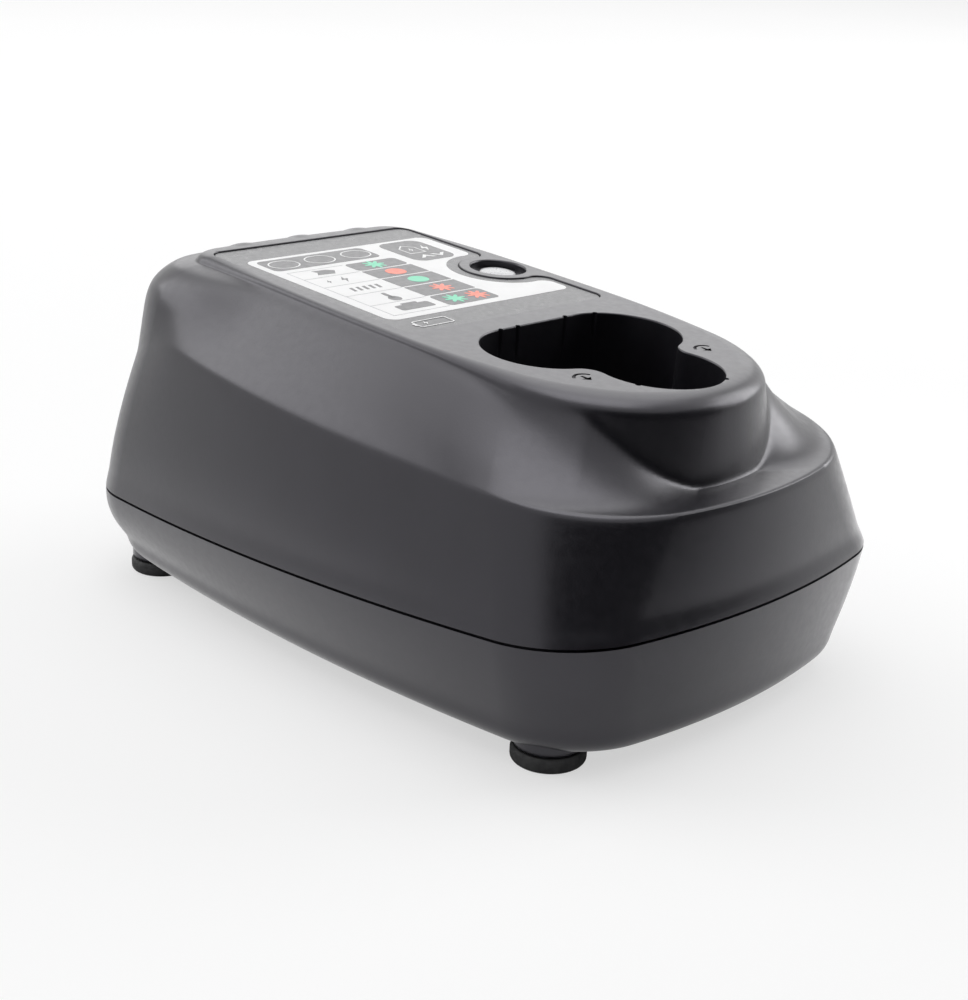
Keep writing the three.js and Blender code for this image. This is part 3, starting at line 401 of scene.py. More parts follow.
def quarterOutline(half, reach, sideRadius, endRadius, corner):
    # a quarter oval: side arc, corner arc and end arc, each tangent to the next
    side = np.array([half - sideRadius, 0.0])
    end = np.array([0.0, reach - endRadius])
    fromSide = sideRadius - corner
    fromEnd = endRadius - corner
    apart = np.linalg.norm(end - side)
    along = (fromSide ** 2 - fromEnd ** 2 + apart ** 2) / (2 * apart)
    across = math.sqrt(max(fromSide ** 2 - along ** 2, 0))
    toEnd = (end - side) / apart
    middle = side + toEnd * along + np.array([-toEnd[1], toEnd[0]]) * across
    sideTurn = math.atan2(middle[1] - side[1], middle[0] - side[0])
    endTurn = math.atan2(middle[1] - end[1], middle[0] - end[0])
    c = caseShape
    return np.concatenate([
        arc(side, sideRadius, 0, sideTurn, c["sideSteps"]),
        arc(middle, corner, sideTurn, endTurn, c["cornerSteps"]),
        arc(end, endRadius, endTurn, math.pi / 2, c["endSteps"]),
        [[0.0, reach]],
    ])


def wholeOutline(rear, front):
    # four quarters, counter-clockwise from the middle of the right-hand side
    left = np.array([-1.0, 1.0])
    return np.concatenate([
        rear,
        rear[::-1][1:] * left,
        front[1:] * -1.0,
        front[::-1][1:-1] * -left,
    ])


def seamOutline(inset, sideLean=0.0, endLean=0.0, corner=None, rearCorner=None):
    c = caseShape
    corner = corner or c["corner"]
    half = c["halfWidth"] - inset - sideLean
    reach = c["halfLength"] - inset - endLean
    arcs = [c["sideRadius"], c["endRadius"]]
    rear = quarterOutline(half, reach, *arcs, (rearCorner or corner) - inset)
    return wholeOutline(rear, quarterOutline(half, reach, *arcs, corner - inset))


def shoulderOutline(inset):
    s = shoulderShape
    half = caseShape["halfWidth"] - s["sideInset"] - inset
    reach = caseShape["halfLength"] - s["endInset"] - inset
    rear = quarterOutline(half, reach, s["sideRadius"], caseShape["endRadius"], s["rearCorner"] - inset)
    front = quarterOutline(half, reach, s["sideRadius"], s["endRadius"], s["frontCorner"] - inset)
    return wholeOutline(rear, front)


def rimOutline(inset):
    t = topShape
    half = t["halfWidth"] - inset
    rear = quarterOutline(
        half, t["rearReach"] - inset, t["sideRadius"], t["rearRadius"], max(t["rearCorner"] - inset, 0.3)
    )
    front = quarterOutline(
        half, t["frontReach"] - inset, t["frontSideRadius"], t["frontRadius"] - inset, t["frontCorner"] - inset
    )
    # the collar's points moved part of the way towards even steps
    first = caseShape["sideSteps"]
    tail = front[first:]
    steps = np.concatenate([[0], np.cumsum(np.linalg.norm(np.diff(tail, axis=0), axis=1))])
    wanted = between(steps, np.linspace(0, steps[-1], len(steps)), t["evenSteps"])
    share = np.interp(wanted, steps, np.linspace(0, 1, len(steps)))
    front[first:] = np.stack([easedTable(tail[:, k], share) for k in (0, 1)], 1)
    return wholeOutline(rear, front)


# The cover's skin

coverShape = {
    "bulgeRows": 26, "flankRows": 34, "rimRows": 10,
    "bulgePower": {"side": 1.5, "front": 1.12, "rear": 1.5},
    "flank": {
        "sideIn": [0, 0.1, 0.28, 0.48, 0.68, 0.85, 0.95, 1],
        "sideUp": [0, 0.13, 0.33, 0.53, 0.72, 0.875, 0.955, 1],
        "rearIn": [0, 0.04, 0.1, 0.17, 0.31, 0.6, 0.86, 1],
        "rearUp": [0, 0.16, 0.4, 0.63, 0.81, 0.95, 0.99, 1],
    },
    "scoopFront": 12, "scoopRim": 55, "scoopPower": 1.4, "cheekFront": 50, "cheekSide": 104, "cheekPower": 1.8,
    "floorShare": 0.52, "wallFootIn": 0.87,
    "rimInner": 50, "rimOuter": 130,
    "rimWidth": {"side": 1.2, "front": 4.6, "rear": 4.2},
    "rimDrop": {"side": 0.9, "front": 2.9, "rear": 1.9},
    "bandRise": 2.4, "bandIn": 0.45,
    "easeRows": 1.0,
    "ribPitch": 15, "ribHalf": 2.5, "ribRise": 0.3,
}


def sides(values, front, rear):
    # a value for the sides, blended towards those of the front and the rear
    base = between(values["side"], values["rear"], rear)
    return between(base, values["front"], front)


def collarAngle(outline):
    return np.degrees(np.arctan2(np.abs(outline[:, 0]), -(outline[:, 1] - topShape["collarY"])))


def easeAlong(rows, width):
    # each profile eased by a bell-weighted mean along its length, with its ends held
    reach = int(3 * width) + 1
    steps = np.arange(-reach, reach + 1)
    bell = np.exp(-0.5 * (steps / width) ** 2)
    bell /= bell.sum()
    before = 2 * rows[:1] - rows[1:reach + 1][::-1]
    after = 2 * rows[-1:] - rows[-reach - 1:-1][::-1]
    padded = np.concatenate([before, rows, after])
    return sum(bell[k] * padded[k:k + len(rows)] for k in range(len(bell)))


def coverRings(inset, lift):
    # rings from the seam up the bulge, over the shoulder, up the flank and round the rim:
    # the bulge leans from the seam's outline to the shoulder's by a power of its height,
    # and the flank goes from the shoulder to the rim by tables of shares inward and upward
    s = coverShape
    c = caseShape
    seam = seamOutline(inset)
    shoulder = shoulderOutline(inset)
    rim = rimOutline(inset)
    seamY = seam[:, 1]
    rear = smooth(c["halfLength"] / 3, c["halfLength"] - c["corner"] / 2, seamY)
    power = s["bulgePower"]
    lean = (
        power["side"]
        + smooth(0, c["halfLength"], -seamY) * (power["front"] - power["side"])
        + smooth(0, c["halfLength"], seamY) * (power["rear"] - power["side"])
    )
    up = np.linspace(0, 1, s["bulgeRows"])[:, None]
    share = up ** lean
    flat = between(seam[None], shoulder[None], share[..., None])
    low = seamAt(seamY)
    high = shoulderAt(shoulder[:, 1]) - inset
    height = between(low, high, up)
    height[0] += lift
    tuck = s["bandIn"] * smooth(s["bandRise"] / 3, s["bandRise"] * 1.3, height - low) * (1 - up ** 2)
    outward = seam / np.linalg.norm(seam, axis=1)[:, None]
    flat = flat - outward * tuck[..., None]
    bulge = np.concatenate([flat, height[..., None]], -1)

    angle = collarAngle(rim)
    ease = 1 - smooth(s["rimInner"], s["rimOuter"], angle)
    drop = sides(s["rimDrop"], ease, rear)
    width = sides(s["rimWidth"], ease, rear)
    t = np.linspace(0, 1, s["flankRows"] + 1)[1:, None]
    f = s["flank"]
    blend = lambda kind: between(easedTable(f["side" + kind], t), easedTable(f["rear" + kind], t), rear)
    foot = np.clip((angle - s["scoopFront"]) / (s["scoopRim"] - s["scoopFront"]), 0, 1) ** s["scoopPower"]
    split = between(s["floorShare"], 1.0, foot)
    along = np.clip(t / split, 0, 1)
    wallShare = np.clip((t - split) / np.maximum(1 - split, 1e-6), 0, 1)
    side = smooth(s["cheekFront"], s["cheekSide"], angle)
    cheekIn = between(along, np.where(foot < 1, along, blend("In")), side)
    cheekUp = between(along ** s["cheekPower"], np.where(foot < 1, along, blend("Up")), side)
    footIn = between(s["wallFootIn"], 1.0, foot)
    inward = cheekIn * footIn + (1 - footIn) * wallShare
    rise = cheekUp * foot + (1 - foot) * wallShare
    flat = between(shoulder[None], rim[None], inward[..., None])
    rimTop = topAt(rim[:, 1]) - inset - drop
    foot = shoulderAt(shoulder[:, 1]) - inset
    flank = np.concatenate([flat, between(foot, rimTop, rise)[..., None]], -1)

    centreY = np.clip(rim[:, 1], topShape["collarY"], topShape["rearReach"] + topShape["collarY"])
    toCentre = np.stack([-rim[:, 0], centreY - rim[:, 1]], 1)
    toCentre *= (width / np.linalg.norm(toCentre, axis=1))[:, None]
    turn = (np.linspace(0, 1, s["rimRows"] + 1)[1:, None]) * math.pi / 2
    over = 1 - np.cos(turn)
    flat = rim[None] + toCentre[None] * over[..., None]
    height = topAt(flat[..., 1]) - inset - drop * (1 - np.sin(turn))
    edgeRows = np.concatenate([flat, height[..., None]], -1)

    rows = easeAlong(np.concatenate([bulge, flank, edgeRows]), s["easeRows"])
    last = rows[-1:]
    centre = np.array([0.0, 0.0])
    inner = last.copy()
    inner[..., :2] += 0.4 * (centre - last[..., :2]) / np.linalg.norm(last[..., :2], axis=-1)[..., None]
    inner[..., 2] = topAt(inner[..., 1]) - inset
    rows[-1, :, 2] = topAt(rows[-1, :, 1]) - inset
    return np.concatenate([rows, inner])


def addRibs(rings):
    # three low humps over the rear top edge
    s = coverShape
    count = s["rimRows"]
    first = len(rings) - count - 1 - 8
    for n in (-1, 0, 1):
        x = rings[first:-1, :, 0]
        y = rings[first:-1, :, 1]
        hump = np.cos(np.clip((x - n * s["ribPitch"]) / s["ribHalf"], -1, 1) * math.pi / 2) ** 0.8
        rows = np.arange(len(x))[:, None]
        fade = smooth(0, 4, rows) * (1 - smooth(len(x) - 3, len(x) - 1, rows))
        grow = s["ribRise"] * hump * fade * (y > 30)
        rings[first:-1, :, 1] += grow * 0.5
        rings[first:-1, :, 2] += grow * 0.85
    return rings


# The battery socket

socketShape = {
    "lobe": 11.37, "spread": 9.83, "frontY": -45.3, "rearY": -27.8, "cusp": 4,
    "lip": 0.35, "throatWall": 2.2, "throatBottom": 39, "wellWall": 1.8, "wellFloor": 12,
}


def socketOutline(grow, count=26):
    # three lobes joined by eased cusps, with a flat back, grown by a distance
    s = socketShape
    lobe = s["lobe"] + grow
    cusp = s["cusp"] - grow
    step = s["rearY"] - s["frontY"]
    half = math.hypot(s["spread"], step) / 2
    out = math.sqrt((lobe + cusp) ** 2 - half ** 2)
    turn = math.atan2(s["spread"], step)
    x = s["spread"] / 2 + out * math.cos(turn)
    y = (s["frontY"] + s["rearY"]) / 2 - out * math.sin(turn)
    toFront = math.atan2(y - s["frontY"], x)
    toRear = math.atan2(y - s["rearY"], x - s["spread"])
    front = (0, s["frontY"])
    right = (s["spread"], s["rearY"])
    left = (-s["spread"], s["rearY"])
    parts = [
        arc(front, lobe, -math.pi - toFront, toFront, count * 2),
        arc((x, y), cusp, math.pi + toFront, math.pi + toRear, count // 2),
        arc(right, lobe, toRear, math.pi / 2, count * 2),
        np.linspace([right[0], right[1] + lobe], [left[0], left[1] + lobe], 12, endpoint=False),
        arc(left, lobe, math.pi / 2, math.pi - toRear, count * 2),
        arc((-x, y), cusp, -toRear, -toFront, count // 2),
    ]
    return np.concatenate(parts)


def lippedCutter(outlineAt, depth, lip, count=7):
    # a cutter in the top face's own plane, whose mouth opens by nearly a quarter round
    turn = np.linspace(0, 1.35, count)
    heights = np.concatenate([[-depth], -lip + (lip + 0.02) * np.sin(turn) / math.sin(1.35), [4.0]])
    opened = lip * (1 - np.cos(turn))
    grows = np.concatenate([[0.0], opened, opened[-1:]])
    outlines = np.stack([outlineAt(grow) for grow in grows])
    return moved(loftShape(raised(outlines, heights)), onTop)


# The film's recess and the lamp's ring

filmShape = {
    "halfWidth": 25.3, "front": -10.5, "rear": 48, "corner": 2.5, "thickness": 0.35, "recess": 0.62,
    "clear": 0.15, "lampX": 20.9, "lampY": 14.4, "ring": 8, "fillet": 3,
    "well": 5.6, "wellDepth": 1.5, "lens": 3.7,
}


def bayOutline(left, right, front, rear, corner, ring, fillet, count=14):
    # a rounded rectangle with a bay round the lamp's ring
    lamp = (filmShape["lampX"], filmShape["lampY"])
    filletX = right - fillet
    rise = math.sqrt((ring + fillet) ** 2 - (lamp[0] - filletX) ** 2)
    turn = math.atan2(rise, lamp[0] - filletX)
    quarter = math.pi / 2
    return np.concatenate([
        arc((right - corner, front + corner), corner, -quarter, 0, count),
        arc((filletX, lamp[1] - rise), fillet, 0, turn, count),
        arc(lamp, ring, math.pi + turn, math.pi - turn, count * 3),
        arc((filletX, lamp[1] + rise), fillet, -turn, 0, count),
        arc((right - corner, rear - corner), corner, 0, quarter, count),
        arc((left + corner, rear - corner), corner, quarter, 2 * quarter, count),
        arc((left + corner, front + corner), corner, 2 * quarter, 3 * quarter, count),
    ])


def filmOutline(grow):
    s = filmShape
    half = s["halfWidth"] + grow
    return bayOutline(
        -half, half, s["front"] - grow, s["rear"] + grow, s["corner"] + grow, s["ring"] - grow, s["fillet"] + grow
    )


def circleOutline(x, y, radius, count=48):
    return arc((x, y), radius, 0, 2 * math.pi, count)


# Top cover

inletShape = {"halfWidth": 11.5, "halfHeight": 6.3, "face": 71.9, "depth": 17, "clear": 0.3}


def inletHole():
    s = inletShape
    z = float(seamAt(caseShape["halfLength"]))
    half = s["halfWidth"] + s["clear"]
    high = s["halfHeight"] + s["clear"]
    return boxShape([-half, s["face"] - s["depth"] / 2, z - high], [half, 80, z + high])


# Columns for the case screws, which the two halves share

columnShape = {
    "x": 36.2, "front": -31.6, "rear": 38.6, "radius": 4.2, "bore": 1.8, "head": 3.2, "headTop": 9.8,
    "foot": 4.5, "baseTop": 17.3, "coverFoot": 25.8, "boreEnd": 34.1,
}
screwPlaces = [
    (side * columnShape["x"], y) for y in (columnShape["front"], columnShape["rear"]) for side in (-1, 1)
]


def rodShape(x, y, low, high, radius, steps=40):
    return turnedShape(x, y, [[radius, low], [radius, high]], steps)


markShape = {"x": 15.9, "y": -43.0, "radius": 2.1, "stroke": 0.6, "depth": 0.35, "head": 1.15}
notchPlaces = [(-9.2, -16.45), (-4.8, -16.4), (7.7, -16.3), (14.6, -17.5), (-10.6, -49.6), (5.5, -55.3)]


def bandOutline(x, y, radius, stroke, start, stop, count=16):
    # a stroke bent along part of a circle
    turn = np.linspace(start, stop, count)
    ray = np.stack([np.cos(turn), np.sin(turn)], 1)
    outer = ray * (radius + stroke / 2)
    inner = ray * (radius - stroke / 2)
    return np.concatenate([outer, inner[::-1]]) + [x, y]


def markShapes():
    # a bent stroke with an arrow under it, sunk beside each cusp of the socket
    m = markShape
    shapes = []
    for side in (-1, 1):
        x = side * m["x"]
        bent = bandOutline(x, m["y"], m["radius"], m["stroke"], math.radians(25), math.radians(155))
        tip = m["y"] - m["radius"] * 0.55
        arrow = np.array([
            [x - m["stroke"] / 2, tip + m["head"]], [x - m["head"], tip + m["head"]], [x, tip],
            [x + m["head"], tip + m["head"]], [x + m["stroke"] / 2, tip + m["head"]],
            [x + m["stroke"] / 2, m["y"] + m["radius"] * 0.55], [x - m["stroke"] / 2, m["y"] + m["radius"] * 0.55],
        ])
        for outline in (bent, arrow):
            shapes.append(moved(prismShape(outline, -m["depth"], 4), onTop))
    return shapes


def notchShapes():
    # small round keyways down the socket's wall
    return [turnedShape(x, y, [[0.55, socketShape["throatBottom"] - 4], [0.55, 80]], 16) for x, y in notchPlaces]


def makeCover():
    gap = caseShape["seamGap"] / 2
    wall = caseShape["wall"]
    outer = addRibs(coverRings(0, gap))
    inner = coverRings(wall, gap)
    rebate = np.stack([inner[0], inner[0], outer[0]])
    rebate[0, :, 2] = seamAt(rebate[0, :, 1]) + 1.6
    step = seamOutline(0.95)
    rebate[1, :, :2] = step
    rebate[1, :, 2] = seamAt(step[:, 1]) + 1.6
    rebate[2, :, :2] = step
    rebate[2, :, 2] = seamAt(step[:, 1]) + gap
    rings = np.concatenate([inner[:0:-1], rebate, outer])
    cover = newPiece("top_cover_shell", loftShape(rings))
    throat = raised(socketOutline(socketShape["throatWall"]), [socketShape["throatBottom"], 0])
    throat[1, :, 2] = topAt(throat[1, :, 1]) - wall / 2
    combine(cover, loftShape(throat), "UNION")
    c = columnShape
    columns = [rodShape(x, y, c["coverFoot"], float(shoulderAt(y)) - 1.5, c["radius"]) for x, y in screwPlaces]
    combine(cover, merged(*columns), "UNION")
    combine(cover, merged(*[rodShape(x, y, c["coverFoot"] - 2, c["boreEnd"], c["bore"]) for x, y in screwPlaces]))
    combine(cover, lippedCutter(socketOutline, 30, socketShape["lip"]))
    f = filmShape
    combine(cover, lippedCutter(lambda grow: filmOutline(grow + f["clear"]), f["recess"], 0.25, 4))
    ring = lambda grow: circleOutline(f["lampX"], f["lampY"], f["well"] + grow)
    combine(cover, lippedCutter(ring, f["wellDepth"], 0.5, 6))
    bore = circleOutline(f["lampX"], f["lampY"], f["lens"] + 0.15)
    combine(cover, moved(prismShape(bore, -8, 4), onTop))
    combine(cover, merged(*markShapes()))
    combine(cover, merged(*notchShapes()))
    combine(cover, inletHole())
    cover.data.materials.clear()
    cover.data.materials.append(casePlastic)
    evenNormals(cover)
    return settle(cover, "case", "top_cover")


cover = makeCover()
print("cover made:", len(cover.data.polygons), "faces")


# Base tub

baseShape = {
    "under": 3.3, "radius": 5, "sideLean": 4.6, "endLean": 3, "corner": 19, "rearCorner": 15,
    "frontPower": 1.3, "rearPower": 2.2, "wallRows": 14, "underRows": 12, "tongue": 1.1,
    "footX": 32.4, "footFront": -53.8, "footRear": 56, "bossRadius": 6.1,
    "floor": 5.5, "standTop": 10.7, "stand": 3, "standBore": 1.5, "postTop": 11.7, "shelfTop": 11.6,
    "posts": ((-15.8, -24.8), (15.8, -24.8), (0, -48.3)), "plate": (-23.3, 23.3, -13.3, 13.3, 2.3),
}
footPlaces = [
    (side * baseShape["footX"], y)
    for y in (baseShape["footFront"], baseShape["footRear"])
    for side in (-1, 1)
]


def baseRings(inset):
    # a quarter round under the edge, then a wall that opens out to the seam
    s = baseShape
    centre = s["under"] + s["radius"]
    turns = np.linspace(math.pi / 2, 0, s["underRows"])
    backs = s["radius"] * (1 - np.cos(turns))
    heights = centre - (s["radius"] - inset) * np.sin(turns)
    rings = []
    for back, height in zip(backs, heights):
        ring = seamOutline(
            inset, s["sideLean"] + back, s["endLean"] + back, s["corner"] - back / 2, s["rearCorner"] - back / 2
        )
        rings.append(np.column_stack([ring, np.full(len(ring), height)]))
    for share in np.linspace(0, 1, s["wallRows"])[1:]:
        corners = [
            between(s["corner"], caseShape["corner"], share), between(s["rearCorner"], caseShape["corner"], share)
        ]
        front, rear = [
            seamOutline(inset, s["sideLean"] * lean, s["endLean"] * lean, *corners)
            for lean in ((1 - share) ** s["frontPower"], (1 - share) ** s["rearPower"])
        ]
        ring = between(front, rear, smooth(0, caseShape["halfLength"], front[:, 1])[:, None])
        rings.append(np.column_stack([ring, between(centre, seamAt(ring[:, 1]), share)]))
    return np.stack(rings)


def makeBase():
    s = baseShape
    gap = caseShape["seamGap"] / 2
    outer = baseRings(0)
    inner = baseRings(caseShape["wall"])
    outer[-1, :, 2] -= gap
    outer = np.concatenate([easeAlong(outer[:-1], 1.0), outer[-1:]])
    step = seamOutline(s["tongue"])
    tongue = np.stack([
        np.column_stack([step, seamAt(step[:, 1]) - gap]),
        np.column_stack([step, seamAt(step[:, 1]) + 1.3]),
        np.column_stack([inner[-1, :, :2], seamAt(inner[-1, :, 1]) + 1.3]),
    ])
    base = newPiece("base_tub_shell", loftShape(np.concatenate([outer, tongue, inner[::-1][1:]])))
    bosses = [
        turnedShape(x, y, [[s["bossRadius"] - 0.3, s["under"] - 0.35], [s["bossRadius"], s["under"] + 0.1],
                           [s["bossRadius"], 8.6]], 64)
        for x, y in footPlaces
    ]
    combine(base, merged(*bosses), "UNION")
    c = columnShape
    stands = [(low + high)[:2] / 2 for low, high in (span("board_screw_" + str(n)) for n in range(1, 5))]
    uprights = [rodShape(x, y, c["foot"], c["baseTop"], c["radius"]) for x, y in screwPlaces]
    uprights += [rodShape(x, y, s["floor"], s["standTop"], s["stand"]) for x, y in stands]
    uprights += [rodShape(x, y, s["floor"], s["postTop"], s["stand"]) for x, y in s["posts"]]
    uprights += [boxShape([x - 1, 56.9, s["floor"]], [x + 1, 63.3, s["shelfTop"]]) for x in (-5.75, 5.75)]
    combine(base, merged(*uprights), "UNION")
    holes = [
        turnedShape(x, y, [
            [c["head"] + 0.15, -2], [c["head"] + 0.15, s["under"] + 0.2], [c["head"], s["under"] + 0.35],
            [c["head"], c["headTop"]], [c["bore"], c["headTop"]], [c["bore"], c["baseTop"] + 1],
        ], 40) for x, y in screwPlaces
    ]
    holes += [rodShape(x, y, s["floor"] + 0.2, s["standTop"] + 1, s["standBore"], 24) for x, y in stands]
    left, right, front, rear, corner = s["plate"]
    holes.append(prismShape(roundedBox(left, right, front, rear, corner), -2, s["under"] + 0.8))
    combine(base, merged(*holes))
    combine(base, inletHole())
    base.data.materials.clear()
    base.data.materials.append(casePlastic)
    evenNormals(base)
    return settle(base, "case", "base_tub")


base = makeBase()
print("base made:", len(base.data.polygons), "faces")


# Feet

footShape = {"radius": 6.4, "height": 2.7, "edge": 0.9, "steps": 64}


def makeFoot(name, x, y):
    # a rubber puck with a rounded tread, a shallow groove under the boss and a stem above it
    s = footShape
    turn = np.linspace(0, math.pi / 2, 7)
    tread = np.stack([
        s["radius"] - s["edge"] + s["edge"] * np.sin(turn),
        s["edge"] - s["edge"] * np.cos(turn),
    ], 1)
    top = s["height"]
    rest = [
        [s["radius"], top - 0.7], [s["radius"] - 0.12, top - 0.35], [s["radius"] - 0.45, top],
        [2.4, top], [2.4, top + 4.2],
    ]
    dish = [[0.6, 0.35], [2.2, 0.35], [2.9, 0.05], [3.4, 0]]
    profile = np.concatenate([dish, tread, rest])
    return newPiece(name, turnedShape(x, y, profile, s["steps"]), footRubber)


for name, (x, y) in zip(("front_left", "front_right", "rear_left", "rear_right"), footPlaces):
    settle(makeFoot("rubber_foot_" + name, x, y), "rubber", "foot_" + name)
print("feet made")


# Label film

def makeFilm():
    s = filmShape
    bottom = -s["recess"] + 0.01
    top = bottom + s["thickness"]
    outlines = np.stack([filmOutline(0), filmOutline(0), filmOutline(-0.12)])
    rings = raised(outlines, [bottom, top - 0.1, top])
    film = newPiece("printed_film", moved(loftShape(rings), onTop), filmBase)
    evenNormals(film)
    return settle(film, "film", "label_film")


makeFilm()
print("film made")


# Prints on the film: a generic chart of the lamp's states, without lettering

printShape = {
    "layer": 0.02,
    "panel": (-23.0, 24.0, -2.7, 40.3, 2.2, 10.4, 2.4),
    "band": (-21.3, 5.4, 31.9, 39.1, 1.4), "ovals": (-16.8, -7.9, 1.4), "ovalY": 35.45,
    "cells": ((25.3, 30.2), (19.4, 24.8), (13.0, 18.9), (6.3, 12.5), (-0.6, 5.8)),
    "cellLeft": -6.3, "cellRight": 6.7, "tableLeft": -20.4, "line": 0.18,
    "lamps": (
        ("green", "star", -0.3, 27.8), ("red", "dot", 0.2, 22.0), ("green", "dot", 0.5, 15.8),
        ("red", "star", 0.7, 9.4), ("green", "star", -2.3, 2.6), ("red", "star", 3.5, 2.6),
    ),
    "badge": (9.6, 20.6, 25.4, 39.2, 2.6),
}
printWhite = newFinish("print_white", (0.72, 0.72, 0.725), 0.32)
printDark = newFinish("print_dark", (0.045, 0.045, 0.05), 0.32)
printGreen = newFinish("print_green", (0.06, 0.55, 0.32), 0.32)
printRed = newFinish("print_red", (0.78, 0.1, 0.035), 0.32)
printGrey = newFinish("print_grey", (0.36, 0.36, 0.38), 0.32)
for ink, other in (
    (printWhite, (0.69, 0.69, 0.695)), (printDark, (0.055, 0.055, 0.06)), (printGreen, (0.08, 0.62, 0.37)),
    (printRed, (0.84, 0.13, 0.05)), (printGrey, (0.4, 0.4, 0.42)),
):
    addMottle(ink, other, 220)
    addSheen(ink, 0.28, 0.38, 900)
    addGrain(ink, 3500, 0.000004)


def ovalOutline(x, y, across, along, count=40):
    return circleOutline(0, 0, 1, count) * [across, along] + [x, y]


def starOutline(x, y, radius, count=96):
    # a circle whose radius swells eight times round
    turn = np.arange(count) * 2 * math.pi / count
    swell = radius * (0.74 + 0.26 * np.cos(8 * turn))
    return np.stack([x + swell * np.cos(turn), y + swell * np.sin(turn)], 1)


def loopShape(outer, inner, low, high):
    # a line that closes on itself, between two outlines of equal count
    rings = np.stack([
        np.column_stack([outer, np.full(len(outer), low)]),
        np.column_stack([outer, np.full(len(outer), high)]),
        np.column_stack([inner, np.full(len(inner), high)]),
        np.column_stack([inner, np.full(len(inner), low)]),
    ])
    return hoopShape(rings)


def boltOutline(x, y, size):
    # a lightning flash
    points = np.array([[0.25, 1], [-0.55, -0.12], [-0.05, -0.12], [-0.3, -1], [0.55, 0.2], [0.05, 0.2]])
    return points * size + [x, y]


def printPiece(name, ink, outlines, level, loops=()):
    low = -filmShape["recess"] + 0.01 + filmShape["thickness"] + (level - 1) * printShape["layer"] - 0.005
    high = low + printShape["layer"] + 0.005
    shapes = [prismShape(outline, low, high) for outline in outlines]
    shapes += [loopShape(outer, inner, low, high) for outer, inner in loops]
    return settle(newPiece(name, moved(merged(*shapes), onTop), ink, 20), "film")


def makePrints():
    p = printShape
    line = p["line"]
    printPiece("print_panel", printWhite, [bayOutline(*p["panel"])], 1)
    cells = [
        roundedBox(p["cellLeft"], p["cellRight"], low, high, 1.1 if n in (0, 4) else 0.25)
        for n, (low, high) in enumerate(p["cells"])
    ]
    pictures = [
        np.array([[-15.6, 26.6], [-11.6, 26.2], [-10.4, 27.9], [-11.8, 29.0], [-15.2, 29.2], [-14.6, 28.0]]),
        boltOutline(-16.6, 22.0, 1.0),
        boltOutline(-12.7, 22.1, 1.7),
        ovalOutline(-12.6, 7.9, 1.35, 1.35),
        roundedBox(-13.1, -12.1, 8.2, 11.6, 0.45),
        roundedBox(-16.6, -8.4, 1.0, 3.9, 0.6),
        roundedBox(-14.4, -10.6, 3.8, 4.7, 0.3),
    ]
    pictures += [
        np.array([[-0.35, -1.1], [0.35, -1.1], [0.75, 1.1], [0.05, 1.1]]) + [x, 15.8]
        for x in np.linspace(-16.2, -10.0, 5)
    ]
    badge = roundedBox(*p["badge"])
    printPiece("print_fields", printDark, [roundedBox(*p["band"]), badge] + cells + pictures, 2)
    left = p["tableLeft"]
    right = p["cellLeft"] - 0.3
    rows = [(low + high) / 2 for low, high in zip(
        [c[1] for c in p["cells"][1:]], [c[0] for c in p["cells"][:-1]])]
    rules = [roundedBox(left, right, y - line / 2, y + line / 2, line / 3, 2) for y in rows]
    rules.append(roundedBox(left, right, -0.6, -0.6 + line, line / 3, 2))
    rules.append(roundedBox(left, left + line, -0.5, 30.2, line / 3, 2))
    rules.append(roundedBox(left, right, 30.2 - line, 30.2, line / 3, 2))
    printPiece("print_rules", printGrey, rules, 2)
    ovals = [(ovalOutline(x, p["ovalY"], 3.5, 2.65), ovalOutline(x, p["ovalY"], 3.2, 2.35)) for x in p["ovals"]]
    house = np.array([[12.0, 30.6], [16.4, 30.6], [16.4, 34.4], [14.2, 36.4], [12.0, 34.4]])
    inside = np.array([[12.3, 30.9], [16.1, 30.9], [16.1, 34.3], [14.2, 36.0], [12.3, 34.3]])
    cellBox = roundedBox(-20.6, -12.4, -8.3, -4.9, 0.7)
    cellInside = roundedBox(-20.3, -12.7, -8.0, -5.2, 0.45)
    whites = [
        boltOutline(-18.2, -6.6, 1.0), roundedBox(-21.1, -20.5, -7.3, -5.9, 0.2),
        boltOutline(18.2, 33.2, 1.9), boltOutline(14.2, 33.0, 1.1),
        np.array([[12.0, 27.2], [14.0, 29.2], [16.0, 27.2], [15.0, 27.2], [14.0, 28.2], [13.0, 27.2]]),
        np.array([[15.6, 29.0], [16.6, 29.0], [17.6, 28.0], [18.6, 29.0], [19.6, 29.0], [17.6, 27.0]]),
    ]
    printPiece("print_marks", printWhite, whites, 3, ovals + [(house, inside), (cellBox, cellInside)])
    for ink, colour in ((printGreen, "green"), (printRed, "red")):
        marks = [
            starOutline(x, y, 2.5) if kind == "star" else ovalOutline(x, y, 2.25, 1.95)
            for c, kind, x, y in p["lamps"] if c == colour
        ]
        printPiece("print_" + colour, ink, marks, 3)


makePrints()
print("prints made")


# Socket well

def makeWell():
    s = socketShape
    top = s["throatBottom"] - 0.02
    floor = s["wellFloor"] + s["wellWall"]
    outlines = np.stack([
        socketOutline(s["wellWall"]), socketOutline(s["wellWall"]), socketOutline(0), socketOutline(0),
    ])
    rings = raised(outlines, [s["wellFloor"], top, top, floor])
    well = newPiece("socket_cup", loftShape(rings), innerPlastic)
    y = (s["frontY"] + 2 * s["rearY"]) / 3
    combine(well, boxShape([-9.3, y - 3.8, 8], [9.3, y + 3.8, 20]))
    evenNormals(well)
    return settle(well, "inner", "socket_well")


makeWell()
print("well made")


# Finishes of the smaller parts

